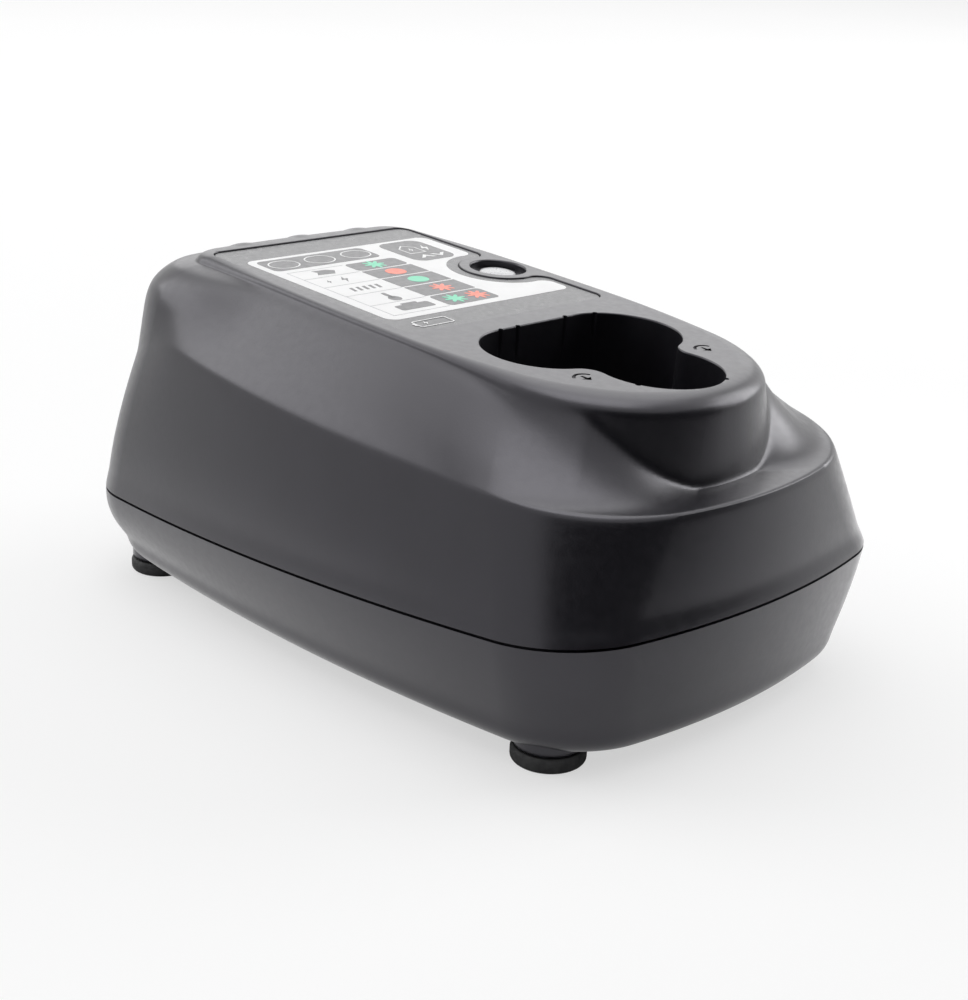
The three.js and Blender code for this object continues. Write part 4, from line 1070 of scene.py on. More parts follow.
def fullFinish(name, colour, other, roughness, spread, scale, grain, metallic=0.0, sockets=None, stretch=(1, 1, 1)):
    # a colour that wanders to another, a roughness that wanders by a spread, and a fine relief
    finish = newFinish(name, colour, roughness, metallic, sockets)
    addMottle(finish, other, scale, stretch=stretch)
    addSheen(finish, roughness - spread, roughness + spread, scale * 4, stretch=stretch)
    addGrain(finish, scale * 10, grain, stretch=stretch)
    return finish


frostedClear = fullFinish(
    "frosted_clear", (0.6, 0.6, 0.615), (0.55, 0.555, 0.57), 0.3, 0.05, 350, 0.000002,
    sockets={"Transmission Weight": 0.1, "IOR": 1.58},
)
clearRod = fullFinish(
    "clear_rod", (0.93, 0.95, 0.95), (0.9, 0.93, 0.93), 0.1, 0.04, 200, 0.000006,
    sockets={"Transmission Weight": 0.9, "IOR": 1.58},
)
fuseGlassFinish = fullFinish(
    "fuse_glass", (0.95, 0.97, 0.97), (0.92, 0.95, 0.95), 0.06, 0.02, 200, 0.000003,
    sockets={"Transmission Weight": 0.95, "IOR": 1.5},
)
zincSteel = fullFinish("zinc_steel", (0.56, 0.57, 0.59), (0.64, 0.64, 0.63), 0.3, 0.08, 500, 0.00001, 1.0)
contactBrass = fullFinish(
    "contact_brass", (0.76, 0.56, 0.25), (0.68, 0.47, 0.2), 0.25, 0.08, 300, 0.00001, 1.0, stretch=(1, 1, 0.15)
)
brightTin = fullFinish("bright_tin", (0.66, 0.67, 0.68), (0.55, 0.56, 0.58), 0.24, 0.08, 600, 0.00002, 1.0)
maskGreen = fullFinish("mask_green", (0.014, 0.105, 0.045), (0.02, 0.13, 0.055), 0.34, 0.06, 150, 0.00001)
traceGreen = fullFinish("trace_green", (0.035, 0.21, 0.085), (0.045, 0.24, 0.1), 0.3, 0.05, 200, 0.00001)
groundFerrite = fullFinish("ground_ferrite", (0.03, 0.03, 0.034), (0.05, 0.05, 0.054), 0.55, 0.1, 250, 0.00003)
yellowTape = fullFinish(
    "yellow_tape", (0.7, 0.45, 0.04), (0.78, 0.53, 0.07), 0.3, 0.06, 120, 0.00002, stretch=(1, 1, 8)
)
yellowMoulding = fullFinish("yellow_moulding", (0.66, 0.43, 0.05), (0.7, 0.47, 0.07), 0.38, 0.06, 150, 0.00002)
bobbinBlack = fullFinish("bobbin_black", (0.014, 0.014, 0.015), (0.022, 0.022, 0.024), 0.45, 0.08, 200, 0.00003)
shrinkSleeve = fullFinish("shrink_sleeve", (0.012, 0.022, 0.055), (0.016, 0.03, 0.07), 0.24, 0.06, 180, 0.00001)
sleeveStripe = fullFinish("sleeve_stripe", (0.5, 0.52, 0.55), (0.44, 0.46, 0.5), 0.28, 0.05, 200, 0.00001)
canMetal = fullFinish("can_metal", (0.7, 0.71, 0.72), (0.6, 0.61, 0.62), 0.32, 0.08, 400, 0.00001, 1.0)
enamelWire = fullFinish("enamel_wire", (0.52, 0.17, 0.05), (0.62, 0.24, 0.08), 0.24, 0.06, 300, 0.00001, 0.6)
mouldedEpoxy = fullFinish("moulded_epoxy", (0.013, 0.013, 0.014), (0.02, 0.02, 0.021), 0.5, 0.08, 300, 0.00003)
shearedSheet = fullFinish(
    "sheared_sheet", (0.66, 0.67, 0.68), (0.58, 0.59, 0.6), 0.34, 0.1, 200, 0.00002, 1.0, stretch=(1, 1, 0.08)
)
redLamp = fullFinish(
    "red_lamp", (0.7, 0.04, 0.02), (0.6, 0.03, 0.015), 0.14, 0.04, 200, 0.000005, sockets={"Transmission Weight": 0.5}
)
greenLamp = fullFinish(
    "green_lamp", (0.04, 0.5, 0.14), (0.03, 0.42, 0.11), 0.14, 0.04, 200, 0.000005,
    sockets={"Transmission Weight": 0.5},
)
plateFilm = fullFinish("plate_film", (0.045, 0.045, 0.05), (0.06, 0.06, 0.066), 0.36, 0.05, 160, 0.00001)
leadCover = {
    "blue": fullFinish("lead_blue", (0.025, 0.08, 0.33), (0.035, 0.1, 0.38), 0.36, 0.06, 200, 0.00001),
    "brown": fullFinish("lead_brown", (0.12, 0.045, 0.018), (0.15, 0.06, 0.025), 0.36, 0.06, 200, 0.00001),
    "red": fullFinish("lead_red", (0.55, 0.03, 0.02), (0.62, 0.045, 0.03), 0.36, 0.06, 200, 0.00001),
    "white": fullFinish("lead_white", (0.68, 0.68, 0.66), (0.62, 0.62, 0.6), 0.36, 0.06, 200, 0.00001),
    "black": fullFinish("lead_black", (0.012, 0.012, 0.013), (0.02, 0.02, 0.022), 0.36, 0.06, 200, 0.00001),
}


# Tools for the smaller parts

def alongX(shape):
    # drawn upright, laid so that its height runs to the right
    return moved(shape, lambda p: p[:, [2, 0, 1]])


def alongY(shape):
    # drawn upright, laid so that its height runs to the rear
    return moved(shape, lambda p: p[:, [0, 2, 1]] * [-1, 1, 1])


def softBlock(low, high, corner, edge, count=4):
    # a block with round upright corners, whose top and bottom edges are quarter rounds
    turn = np.linspace(0, math.pi / 2, count)
    inset = edge * (1 - np.sin(turn))
    rise = edge * (1 - np.cos(turn))
    insets = np.concatenate([inset, inset[::-1]])
    heights = np.concatenate([low[2] + rise, high[2] - rise[::-1]])
    outlines = np.stack([
        roundedBox(low[0] + i, high[0] - i, low[1] + i, high[1] - i, max(corner - i, 0.03), 5) for i in insets
    ])
    return loftShape(raised(outlines, heights))


def tubeShape(path, radius, steady, count=8):
    # a circle carried round a closed path, square to it and upright to one steady direction
    path = np.asarray(path, float)
    ahead = np.roll(path, -1, 0) - np.roll(path, 1, 0)
    ahead /= np.linalg.norm(ahead, axis=1)[:, None]
    side = np.cross(steady, ahead)
    side /= np.linalg.norm(side, axis=1)[:, None]
    up = np.cross(ahead, side)
    turn = (np.arange(count) * 2 * math.pi / count)[None, :, None]
    return hoopShape(path[:, None] + radius * (np.cos(turn) * side[:, None] + np.sin(turn) * up[:, None]))


def easedPiece(name, shape, finish, width, segments=2):
    # a piece whose sharp edges are made small rounds
    piece = newPiece(name, shape, finish)
    modifier = piece.modifiers.new("edge", "BEVEL")
    modifier.width = width * mm
    modifier.segments = segments
    modifier.limit_method = "ANGLE"
    modifier.angle_limit = math.radians(40)
    applied(piece)
    evenNormals(piece)
    return piece


def dome(radius, low, rise, count=7):
    # a quarter oval from the rim of a circle to near its middle, as radius and height
    turn = np.linspace(0, math.radians(84), count)
    return np.stack([radius * np.cos(turn), low + rise * np.sin(turn)], 1)


# Lamp window, light guide and lamps

windowShape = {"flange": 5.0, "flangeThickness": 1.2, "clear": 0.3, "shoulder": -1.15, "rise": 0.5, "radius": 3.68}


def makeWindow():
    s = windowShape
    web = -caseShape["wall"] - s["clear"]
    profile = np.concatenate([
        [[s["flange"] - 0.15, web - s["flangeThickness"]], [s["flange"], web - s["flangeThickness"] + 0.15],
         [s["flange"], web], [s["radius"], web]],
        dome(s["radius"], s["shoulder"], s["rise"]),
    ])
    shape = moved(turnedShape(filmShape["lampX"], filmShape["lampY"], profile, 64), onTop)
    window = newPiece("lamp_window", shape, frostedClear, 50)
    settle(window, "clear", "indicator_lens")


def makeGuide():
    low, high = span("light_guide")
    x, y = (low[:2] + high[:2]) / 2
    radius = (high[0] - low[0]) / 2
    tall = high[2] - low[2]
    profile = [[radius - 0.9, 0], [radius, 0.9], [radius, tall - 0.35], [radius - 0.35, tall]]
    guide = newPiece("light_rod", turnedShape(x, y, np.array(profile) + [0, low[2]], 48), clearRod)
    settle(guide, "clear", "light_guide")


def makeLampBead(name, node, finish, slot):
    # a collar at the foot, a straight body and a half-round top
    low, high = span(node)
    x, y = (low[:2] + high[:2]) / 2
    radius = (high[0] - low[0]) / 2
    body = radius - 0.15
    top = high[2] - body
    profile = np.concatenate([
        [[radius, low[2]], [radius, low[2] + 0.7], [body, low[2] + 0.8]], dome(body, top, body),
    ])
    settle(newPiece(name, turnedShape(x, y, profile, 32), finish), slot, node)


makeWindow()
makeGuide()
makeLampBead("red_bead", "led_red", redLamp, "red")
makeLampBead("green_bead", "led_green", greenLamp, "green")
print("lamp made")


# Screws

screwShape = {"pitch": 1.05, "thread": 0.3, "rowsPerPitch": 6, "steps": 28, "slotDepth": 1.1}


def plusOutline(x, y, long, thin):
    quarter = np.array([[long, -thin], [long, thin], [thin, thin]])
    turns = [np.array([[c, s], [-s, c]]) for c, s in ((1, 0), (0, 1), (-1, 0), (0, -1))]
    return np.concatenate([quarter @ turn for turn in turns]) + [x, y]


def makeScrew(name, node, headHeight, shank, headDown=True):
    # a low domed head and a shank whose radius is a triangle wave of height less turn: a thread
    low, high = span(node)
    x, y = (low[:2] + high[:2]) / 2
    head = (high[0] - low[0]) / 2
    length = high[2] - low[2]
    s = screwShape
    turn = np.arange(s["steps"]) * 2 * math.pi / s["steps"]
    crown = np.array([[0.3, 0], [0.62, 0.04], [0.84, 0.16], [0.96, 0.4], [1, 0.66], [1, 0.92], [0.96, 1]])
    crown = crown * [head, headHeight]
    rows = np.arange(headHeight + 0.05, length - shank, s["pitch"] / s["rowsPerPitch"])
    wave = np.abs(((rows[:, None] / s["pitch"] - turn[None] / (2 * math.pi)) % 1) * 2 - 1)
    radius = shank - s["thread"] * np.clip(wave * 1.5 - 0.25, 0, 1)
    tip = np.array([[shank * 0.55, length - shank * 0.4], [0.15, length]])
    radii = np.concatenate([
        np.repeat(crown[:, :1], s["steps"], 1), radius, np.repeat(tip[:, :1], s["steps"], 1),
    ])
    heights = np.concatenate([crown[:, 1], rows, tip[:, 1]])
    rings = np.stack([
        radii * np.cos(turn), radii * np.sin(turn), np.repeat(heights[:, None], s["steps"], 1),
    ], -1)
    place = [x, y, low[2]] if headDown else [x, y, high[2]]
    stand = lambda p: p * ([1, 1, 1] if headDown else [1, -1, -1]) + place
    screw = newPiece(name, moved(loftShape(rings), stand), zincSteel)
    cross = prismShape(plusOutline(0, 0, head * 0.6, head * 0.13), -1, min(s["slotDepth"], headHeight * 0.6))
    combine(screw, moved(cross, stand))
    screw.data.materials.clear()
    screw.data.materials.append(zincSteel)
    evenNormals(screw, 38)
    settle(screw, "steel", node)


for n in range(1, 5):
    makeScrew("case_screw_threaded_" + str(n), "case_screw_" + str(n), 2.0, 1.5)
    makeScrew("board_screw_threaded_" + str(n), "board_screw_" + str(n), 1.5, 1.2, False)
print("screws made")


# Rating plate, left bare but for a border

def makePlate():
    low, high = span("rating_plate")
    left, front, bottom = low
    right, rear, top = high
    outlines = np.stack([
        roundedBox(left + i, right - i, front + i, rear - i, 2 - i, 8) for i in (0.12, 0, 0)
    ])
    plate = newPiece("bare_plate", loftShape(raised(outlines, [bottom, bottom + 0.1, top])), plateFilm)
    evenNormals(plate)
    settle(plate, "film", "rating_plate")
    outer = roundedBox(left + 1.4, right - 1.4, front + 1.4, rear - 1.4, 1.4, 8)
    inner = roundedBox(left + 1.75, right - 1.75, front + 1.75, rear - 1.75, 1.1, 8)
    settle(newPiece("plate_border", loopShape(outer, inner, bottom - 0.02, bottom + 0.02), printGrey, 20), "film")


makePlate()


# Mains inlet

plugShape = {"lobe": 3.8, "pitch": 7.2, "web": 3.04, "hollow": 12.5, "edge": 0.5, "flange": 2.0, "thick": 2.0}


def eightOutline(grow, z, count=18):
    # two circles side by side with their middles joined by a lower web
    s = plugShape
    radius = s["lobe"] + grow
    middle = s["pitch"] / 2
    turn = math.asin((s["web"] + grow) / radius)
    quarter = math.pi / 2
    right = arc((middle, z), radius, turn - 2 * quarter, 2 * quarter - turn, count * 2)
    left = arc((-middle, z), radius, turn, 4 * quarter - turn, count * 2)
    return np.concatenate([right, [[middle - radius * math.cos(turn), z + radius * math.sin(turn)]],
                           left, [[-middle + radius * math.cos(turn), z - radius * math.sin(turn)]]])


def makeInlet():
    s = plugShape
    low, high = span("inlet_body")
    z = (low[2] + high[2]) / 2
    face = inletShape["face"]
    half = inletShape["halfWidth"]
    tall = inletShape["halfHeight"]
    main = softBlock([-half, z - tall, low[1]], [half, z + tall, face], 1.6, 0.5)
    inlet = newPiece("inlet_shell", alongY(main), innerPlastic)
    rear = 65.65
    flange = softBlock([low[0], low[2], rear - s["thick"]], [high[0], high[2], rear], 1.8, 0.3)
    combine(inlet, alongY(flange), "UNION")
    turn = np.linspace(0, 1.35, 5)
    heights = np.concatenate([[face - s["hollow"]], face - s["edge"] + (s["edge"] + 0.02) * np.sin(turn), [face + 3]])
    opened = s["edge"] * (1 - np.cos(turn))
    grows = np.concatenate([[0.0], opened, opened[-1:]])
    outlines = np.stack([eightOutline(grow, z) for grow in grows])
    combine(inlet, alongY(loftShape(raised(outlines, heights))))
    inlet.data.materials.clear()
    inlet.data.materials.append(innerPlastic)
    evenNormals(inlet)
    settle(inlet, "inner", "inlet_body")
    for side in ("left", "right"):
        low, high = span("inlet_pin_" + side)
        x, z = (low[[0, 2]] + high[[0, 2]]) / 2
        radius = (high[0] - low[0]) / 2
        profile = np.concatenate([
            [[radius - 0.2, low[1]], [radius, low[1] + 0.2], [radius, high[1] - 2 * radius]],
            dome(radius, high[1] - 2 * radius, 2 * radius),
        ])
        pin = newPiece("mains_pin_" + side, alongY(turnedShape(-x, z, profile, 32)), contactBrass)
        settle(pin, "brass", "inlet_pin_" + side)


makeInlet()
print("inlet made")


# Contacts

def makeContacts():
    low, high = span("contact_carrier")
    middle = (low[1] + high[1]) / 2
    carrier = newPiece("contact_block", softBlock(
        [low[0] + 2, low[1] + 2, low[2]], [high[0] - 2, high[1] - 2, high[2]], 0.8, 0.4), innerPlastic)
    bladeFoot = 11.7
    combine(carrier, softBlock([low[0], low[1], bladeFoot - 1.6], [high[0], high[1], bladeFoot], 0.8, 0.25), "UNION")
    for name in ("plus", "sense", "minus"):
        a, b = span("contact_" + name)
        combine(carrier, boxShape([a[0] - 0.25, a[1] - 0.25, low[2] - 1], [b[0] + 0.25, b[1] + 0.25, high[2] + 1]))
        half = (b[1] - a[1]) / 2
        thick = (b[0] - a[0]) / 2
        outlines = np.stack([
            roundedBox(middle - half + i, middle + half - i, a[2] + i, b[2] - i, 1.3 - i, 7)
            for i in (0.16, 0.04, 0, 0, 0.04, 0.16)
        ])
        heights = (a[0] + b[0]) / 2 + thick * np.array([-1, -0.8, -0.5, 0.5, 0.8, 1])
        blade = newPiece("contact_blade_" + name, alongX(loftShape(raised(outlines, heights))), contactBrass)
        evenNormals(blade)
        settle(blade, "brass", "contact_" + name)
    carrier.data.materials.clear()
    carrier.data.materials.append(innerPlastic)
    evenNormals(carrier)
    settle(carrier, "inner", "contact_carrier")


makeContacts()
print("contacts made")


# Circuit board

boardShape = {
    "trace": 1.1, "lift": 0.035, "joint": 0.85, "jointDrop": 0.9,
    "topTraces": (
        (-28, -22, 24, 41), (-12, 9, 22.5, 23.8), (22, 26.8, 22, 29), (-22, -10, 9.0, 10.2), (8, 9.2, -6, 3),
        (21.5, 22.7, -4, 12), (-20, -8, -6.2, -5), (12, 24, 14.2, 15.4), (-2, 10, 40.2, 42.6), (9, 12, 31, 42),
    ),
    "underTraces": (
        (-27, -6, 41.5, 45), (-8, 18, 44, 46.5), (-24, -12, 26, 38), (-10, 6, 27.6, 31), (10, 26, 28, 42),
        (-27.5, -22, 10, 24), (-20, 8, 20, 22.4), (-18, 8, 4.5, 7.5), (22, 27.6, -6, 14), (-22, -4, -5.5, 2.5),
        (0, 18, -5.5, -2.5), (6, 20, 9.5, 12),
    ),
    "chips": ((3.5, -1.5), (3.5, 1.5), (8.5, 13.5), (22, 6.5), (-12.5, 25.8), (8.4, 26.5), (0.2, -5.2), (13.5, -3.5)),
}


def makeBoard():
    b = boardShape
    low, high = span("circuit_board")
    board = newPiece("board_panel", prismShape(
        roundedBox(low[0], high[0], low[1], high[1], 1.0, 5), low[2], high[2]), maskGreen)
    rings = []
    for n in range(1, 5):
        a, c = span("board_screw_" + str(n))
        x, y = (a[:2] + c[:2]) / 2
        combine(board, turnedShape(x, y, [[1.5, low[2] - 1], [1.5, high[2] + 1]], 32))
        for bottom in (low[2] - b["lift"], high[2] - b["lift"]):
            rings.append(loopShape(
                circleOutline(x, y, 2.8, 32), circleOutline(x, y, 1.55, 32), bottom, bottom + 2 * b["lift"]))
    board.data.materials.clear()
    board.data.materials.append(maskGreen)
    evenNormals(board)
    settle(board, "board", "circuit_board")
    settle(newPiece("board_rings", merged(*rings), brightTin), "steel")
    traces = [
        prismShape(roundedBox(*place, 0.5, 4), level - b["lift"], level + b["lift"])
        for places, level in ((b["topTraces"], high[2]), (b["underTraces"], low[2])) for place in places
    ]
    settle(newPiece("board_traces", merged(*traces), traceGreen), "board")
    chips = [softBlock([x - 1, y - 0.6, high[2]], [x + 1, y + 0.6, high[2] + 0.5], 0.1, 0.08, 2) for x, y in b["chips"]]
    settle(newPiece("board_small_parts", merged(*chips), mouldedEpoxy), "chip")
    caps = [
        softBlock([x + dx, y - 0.62, high[2]], [x + dx + 0.45, y + 0.62, high[2] + 0.53], 0.06, 0.05, 2)
        for x, y in b["chips"] for dx in (-1.2, 0.75)
    ]
    settle(newPiece("board_small_ends", merged(*caps), brightTin), "steel")
    return low[2], high[2]


boardUnder, boardOver = makeBoard()
legPlaces = []


def legsOf(places, high, thick=0.3):
    # square legs from under the board up into a part, with their solder joints listed
    legPlaces.extend(places)
    return [
        boxShape([x - thick, y - thick, boardUnder - 0.6], [x + thick, y + thick, high]) for x, y in places
    ]


# Transformer

def makeTransformer():
    # two halves with three legs each, which meet at mid-height, and a taped coil on a bobbin
    low, high = span("transformer_core")
    bar = 4.2
    middle = (low[2] + high[2]) / 2
    halves = []
    for start, end in ((low[2], middle - 0.06), (high[2], middle + 0.06)):
        inner = start + math.copysign(bar, end - start)
        points = [
            [low[0], start], [high[0], start], [high[0], end], [high[0] - bar, end],
            [high[0] - bar, inner], [low[0] + bar, inner], [low[0] + bar, end], [low[0], end],
        ]
        outline = np.array(points if end > start else points[::-1]) * [-1, 1]
        halves.append(alongY(prismShape(outline[::-1], low[1], high[1])))
    x, y = (low[:2] + high[:2]) / 2
    halves.append(boxShape([x - 4, y - 4, low[2] + bar - 0.2], [x + 4, y + 4, high[2] - bar + 0.2]))
    settle(easedPiece("ferrite_halves", merged(*halves), groundFerrite, 0.3), "ferrite", "transformer_core")
    low, high = span("transformer_winding")
    x, y = (low[:2] + high[:2]) / 2
    outer = (high[0] - low[0]) / 2
    inside = 6.1
    lip = 0.9
    rows = np.linspace(low[2] + lip, high[2] - lip, 49)
    swell = outer - 0.95 + 0.14 * np.abs(np.sin((rows - rows[0]) / (rows[-1] - rows[0]) * math.pi * 8))
    coil = np.concatenate([np.stack([swell, rows], 1), [[inside + 0.4, rows[-1]], [inside + 0.4, rows[0]]]])
    settle(newPiece("taped_coil", hoopShape(turnedRings(x, y, coil, 64)), yellowTape), "tape", "transformer_winding")
    flanges = []
    for bottom in (low[2], high[2] - lip):
        edge = np.array([[outer - 0.12, 0], [outer, 0.12], [outer, lip - 0.12], [outer - 0.12, lip], [inside, lip],
                         [inside, 0]]) + [0, bottom]
        flanges.append(hoopShape(turnedRings(x, y, edge, 64)))
    settle(newPiece("bobbin_flanges", merged(*flanges), bobbinBlack), "inner")
    legPlaces.extend([(x + dx, y + dy) for dx in (-9, -3, 3, 9) for dy in (-7.2, 7.2)])


makeTransformer()
print("transformer made")


# Capacitors

canShape = {"sleeve": 0.9, "groove": 0.45, "grooveAt": (0.09, 0.12, 0.15), "stripe": 0.42, "vent": 0.18}


def makeCan(name, node):
    # a sleeve with a crimp near its foot, a metal top with a scored cross, and a stripe down one side
    s = canShape
    low, high = span(node)
    x, y = (low[:2] + high[:2]) / 2
    radius = (high[0] - low[0]) / 2
    tall = high[2] - low[2]
    a, b, c = [share * tall for share in s["grooveAt"]]
    turn = np.linspace(0, math.pi / 2, 5)
    edge = np.stack([radius - s["sleeve"] * (1 - np.cos(turn)), tall - s["sleeve"] * (1 - np.sin(turn))], 1)
    profile = np.concatenate([
        [[radius - 0.5, 0], [radius - 0.15, 0.1], [radius, 0.4], [radius, a], [radius - s["groove"], b], [radius, c]],
        edge, [[radius - s["sleeve"] - 0.1, tall - 0.25]],
    ]) + [0, low[2]]
    settle(newPiece(name + "_sleeve", turnedShape(x, y, profile, 56), shrinkSleeve), "can", node)
    top = radius - s["sleeve"] - 0.05
    plate = turnedShape(x, y, [[top, high[2] - 0.4], [top, high[2] - 0.1], [top - 0.1, high[2] - 0.05]], 56)
    plate = newPiece(name + "_top", plate, canMetal)
    combine(plate, prismShape(plusOutline(x, y, top * 0.75, s["vent"]), high[2] - 0.2, high[2] + 1))
    plate.data.materials.clear()
    plate.data.materials.append(canMetal)
    evenNormals(plate)
    settle(plate, "aluminium")
    stripe = bandOutline(x, y, radius + 0.01, 0.05, -s["stripe"], s["stripe"], 14)
    shape = prismShape(stripe, low[2] + c + 0.6, high[2] - s["sleeve"] - 0.3)
    settle(newPiece(name + "_stripe", shape, sleeveStripe), "white")
    legPlaces.extend([(x - radius * 0.3, y), (x + radius * 0.3, y)])


makeCan("bulk_can", "bulk_capacitor")
makeCan("output_can_1", "output_capacitor_1")
makeCan("output_can_2", "output_capacitor_2")
print("capacitors made")


# Choke, fuse and suppression capacitor

def makeChoke():
    # a ring of ferrite, and a wire whose path winds round it as its angle round the ring goes once round
    low, high = span("filter_choke")
    x, y, z = (low + high) / 2
    outer = (high[0] - low[0]) / 2
    tube = 2.1
    ring = outer - tube
    half = (high[2] - low[2]) / 2
    wire = 0.34
    turn = np.linspace(0, 2 * math.pi, 24, endpoint=False)
    core = np.stack([ring + (tube - 2 * wire) * np.cos(turn), z + (half - 2 * wire) * np.sin(turn)], 1)
    settle(newPiece("choke_ring", hoopShape(turnedRings(x, y, core, 64)), groundFerrite), "ferrite")
    count = 36
    share = np.arange(count * 14) / (count * 14)
    around = share * 2 * math.pi
    wind = around * count
    out = ring + (tube - wire) * np.cos(wind)
    path = np.stack([x + out * np.cos(around), y + out * np.sin(around), z + (half - wire) * np.sin(wind)], 1)
    steady = np.stack([-np.sin(around), np.cos(around), np.zeros(len(around))], 1)
    settle(newPiece("choke_wire", tubeShape(path, wire, steady), enamelWire), "copper", "filter_choke")
    legPlaces.extend([(x - 4, y + 4), (x + 4, y + 4), (x - 4, y - 4), (x + 4, y - 4)])


def makeFuse():
    low, high = span("mains_fuse")
    y, z = (low[1:] + high[1:]) / 2
    radius = (high[2] - low[2]) / 2
    cap = 3.5
    start, end = low[0], high[0]
    turn = np.linspace(0, math.pi / 2, 5)
    edge = np.stack([radius - 0.4 + 0.4 * np.sin(turn), 0.4 - 0.4 * np.cos(turn)], 1)
    one = np.concatenate([edge, [[radius, cap - 0.2], [radius - 0.15, cap]]])
    other = one[::-1] * [1, -1] + [0, end]
    wire = [[0.14, start + 1], [0.14, end - 1]]
    ends = [turnedShape(y, z, one + [0, start], 40), turnedShape(y, z, other, 40), turnedShape(y, z, wire, 10)]
    settle(newPiece("fuse_caps", alongX(merged(*ends)), brightTin), "steel")
    glass = hoopShape(turnedRings(y, z, [
        [radius - 0.3, start + 0.6], [radius - 0.3, end - 0.6], [radius - 0.75, end - 0.6], [radius - 0.75, start + 0.6],
    ], 40))
    settle(newPiece("fuse_tube", alongX(glass), fuseGlassFinish), "clear", "mains_fuse")
    legPlaces.extend([(start + 1.7, y), (end - 1.7, y)])


def makeSuppressor():
    low, high = span("suppression_capacitor")
    body = softBlock(low, high, 0.7, 0.7)
    settle(newPiece("suppressor_box", body, yellowMoulding), "tape", "suppression_capacitor")
    y = (low[1] + high[1]) / 2
    legPlaces.extend([(low[0] + 1.5, y), (high[0] - 1.5, y)])


makeChoke()
makeFuse()
makeSuppressor()
print("choke, fuse and suppressor made")


# Rectifier, transistor, diode, heat sinks and chips

def makeRectifier():
    low, high = span("bridge_rectifier")
    cut = 2.2
    points = [[low[0], low[2] + 0.6], [high[0], low[2] + 0.6], [high[0], high[2]], [low[0] + cut, high[2]],
              [low[0], high[2] - cut]]
    outline = (np.array(points) * [-1, 1])[::-1]
    body = alongY(prismShape(outline, low[1], high[1]))
    settle(easedPiece("rectifier_block", body, mouldedEpoxy, 0.4), "chip", "bridge_rectifier")
    y = (low[1] + high[1]) / 2
    places = [(x, y) for x in np.linspace(low[0] + 2, high[0] - 2, 4)]
    settle(newPiece("rectifier_legs", merged(*legsOf(places, low[2] + 1)), brightTin), "steel")


def makeTabPart(name, node, side):
    # a moulded body with a metal tab behind it, which stands against its heat sink
    low, high = span(node)
    y = (low[1] + high[1]) / 2
    back = low[0] if side < 0 else high[0]
    front = high[0] if side < 0 else low[0]
    tab = 1.3
    foot = low[2] + 1.5
    near = back - side * (tab - 0.1)
    body = boxShape([min(near, front), low[1] + 0.1, foot], [max(near, front), high[1] - 0.1, foot + 8.6])
    settle(easedPiece(name + "_body", body, mouldedEpoxy, 0.45), "chip", node)
    start, end = sorted([back, back - side * tab])
    plate = newPiece(name + "_tab", boxShape([start, low[1], foot + 0.2], [end, high[1], high[2]]), brightTin)
    hole = alongX(turnedShape(y, high[2] - 2.7, [[1.7, start - 1], [1.7, end + 1]], 28))
    combine(plate, hole)
    plate.data.materials.clear()
    plate.data.materials.append(brightTin)
    evenNormals(plate)
    settle(plate, "steel")
    head = np.concatenate([[[2.5, 0]], dome(2.5, 0.5, 1.2)])
    if side > 0:
        head = head * [1, -1]
        head = head[::-1]
    head = head + [0, back - side * (tab - 0.02)]
    screw = alongX(turnedShape(y, high[2] - 2.7, head, 32))
    settle(newPiece(name + "_screw", screw, zincSteel), "steel")
    x = (back - side * tab + front) / 2
    places = [(x, y + dy) for dy in (-2.54, 0, 2.54)]
    settle(newPiece(name + "_legs", merged(*legsOf(places, foot + 1, 0.35)), brightTin), "steel")


def makeSink(name, node):
    low, high = span(node)
    side = -1 if low[0] < 0 else 1
    back = low[0] if side < 0 else high[0]
    thick = 1.5
    start, end = sorted([back, back - side * thick])
    if side < 0:
        start, end = high[0] - thick, high[0]
    else:
        start, end = low[0], low[0] + thick
    y = (low[1] + high[1]) / 2
    quarter = (high[1] - low[1]) / 4
    plate = boxShape([start, low[1], low[2]], [end, high[1], high[2]])
    lip = boxShape([low[0], y - quarter, low[2]], [high[0], y + quarter, low[2] + thick])
    sink = newPiece(name, plate, shearedSheet)
    combine(sink, lip, "UNION")
    slots = [boxShape([start - 1, y + n * 6 - 0.8, high[2] - 7], [end + 1, y + n * 6 + 0.8, high[2] - 3]) for n in (-1, 0, 1)]
    combine(sink, merged(*slots))
    sink.data.materials.clear()
    sink.data.materials.append(shearedSheet)
    modifier = sink.modifiers.new("edge", "BEVEL")
    modifier.width = 0.2 * mm
    modifier.segments = 2
    modifier.limit_method = "ANGLE"
    modifier.angle_limit = math.radians(40)
    applied(sink)
    evenNormals(sink)
    settle(sink, "aluminium", node)


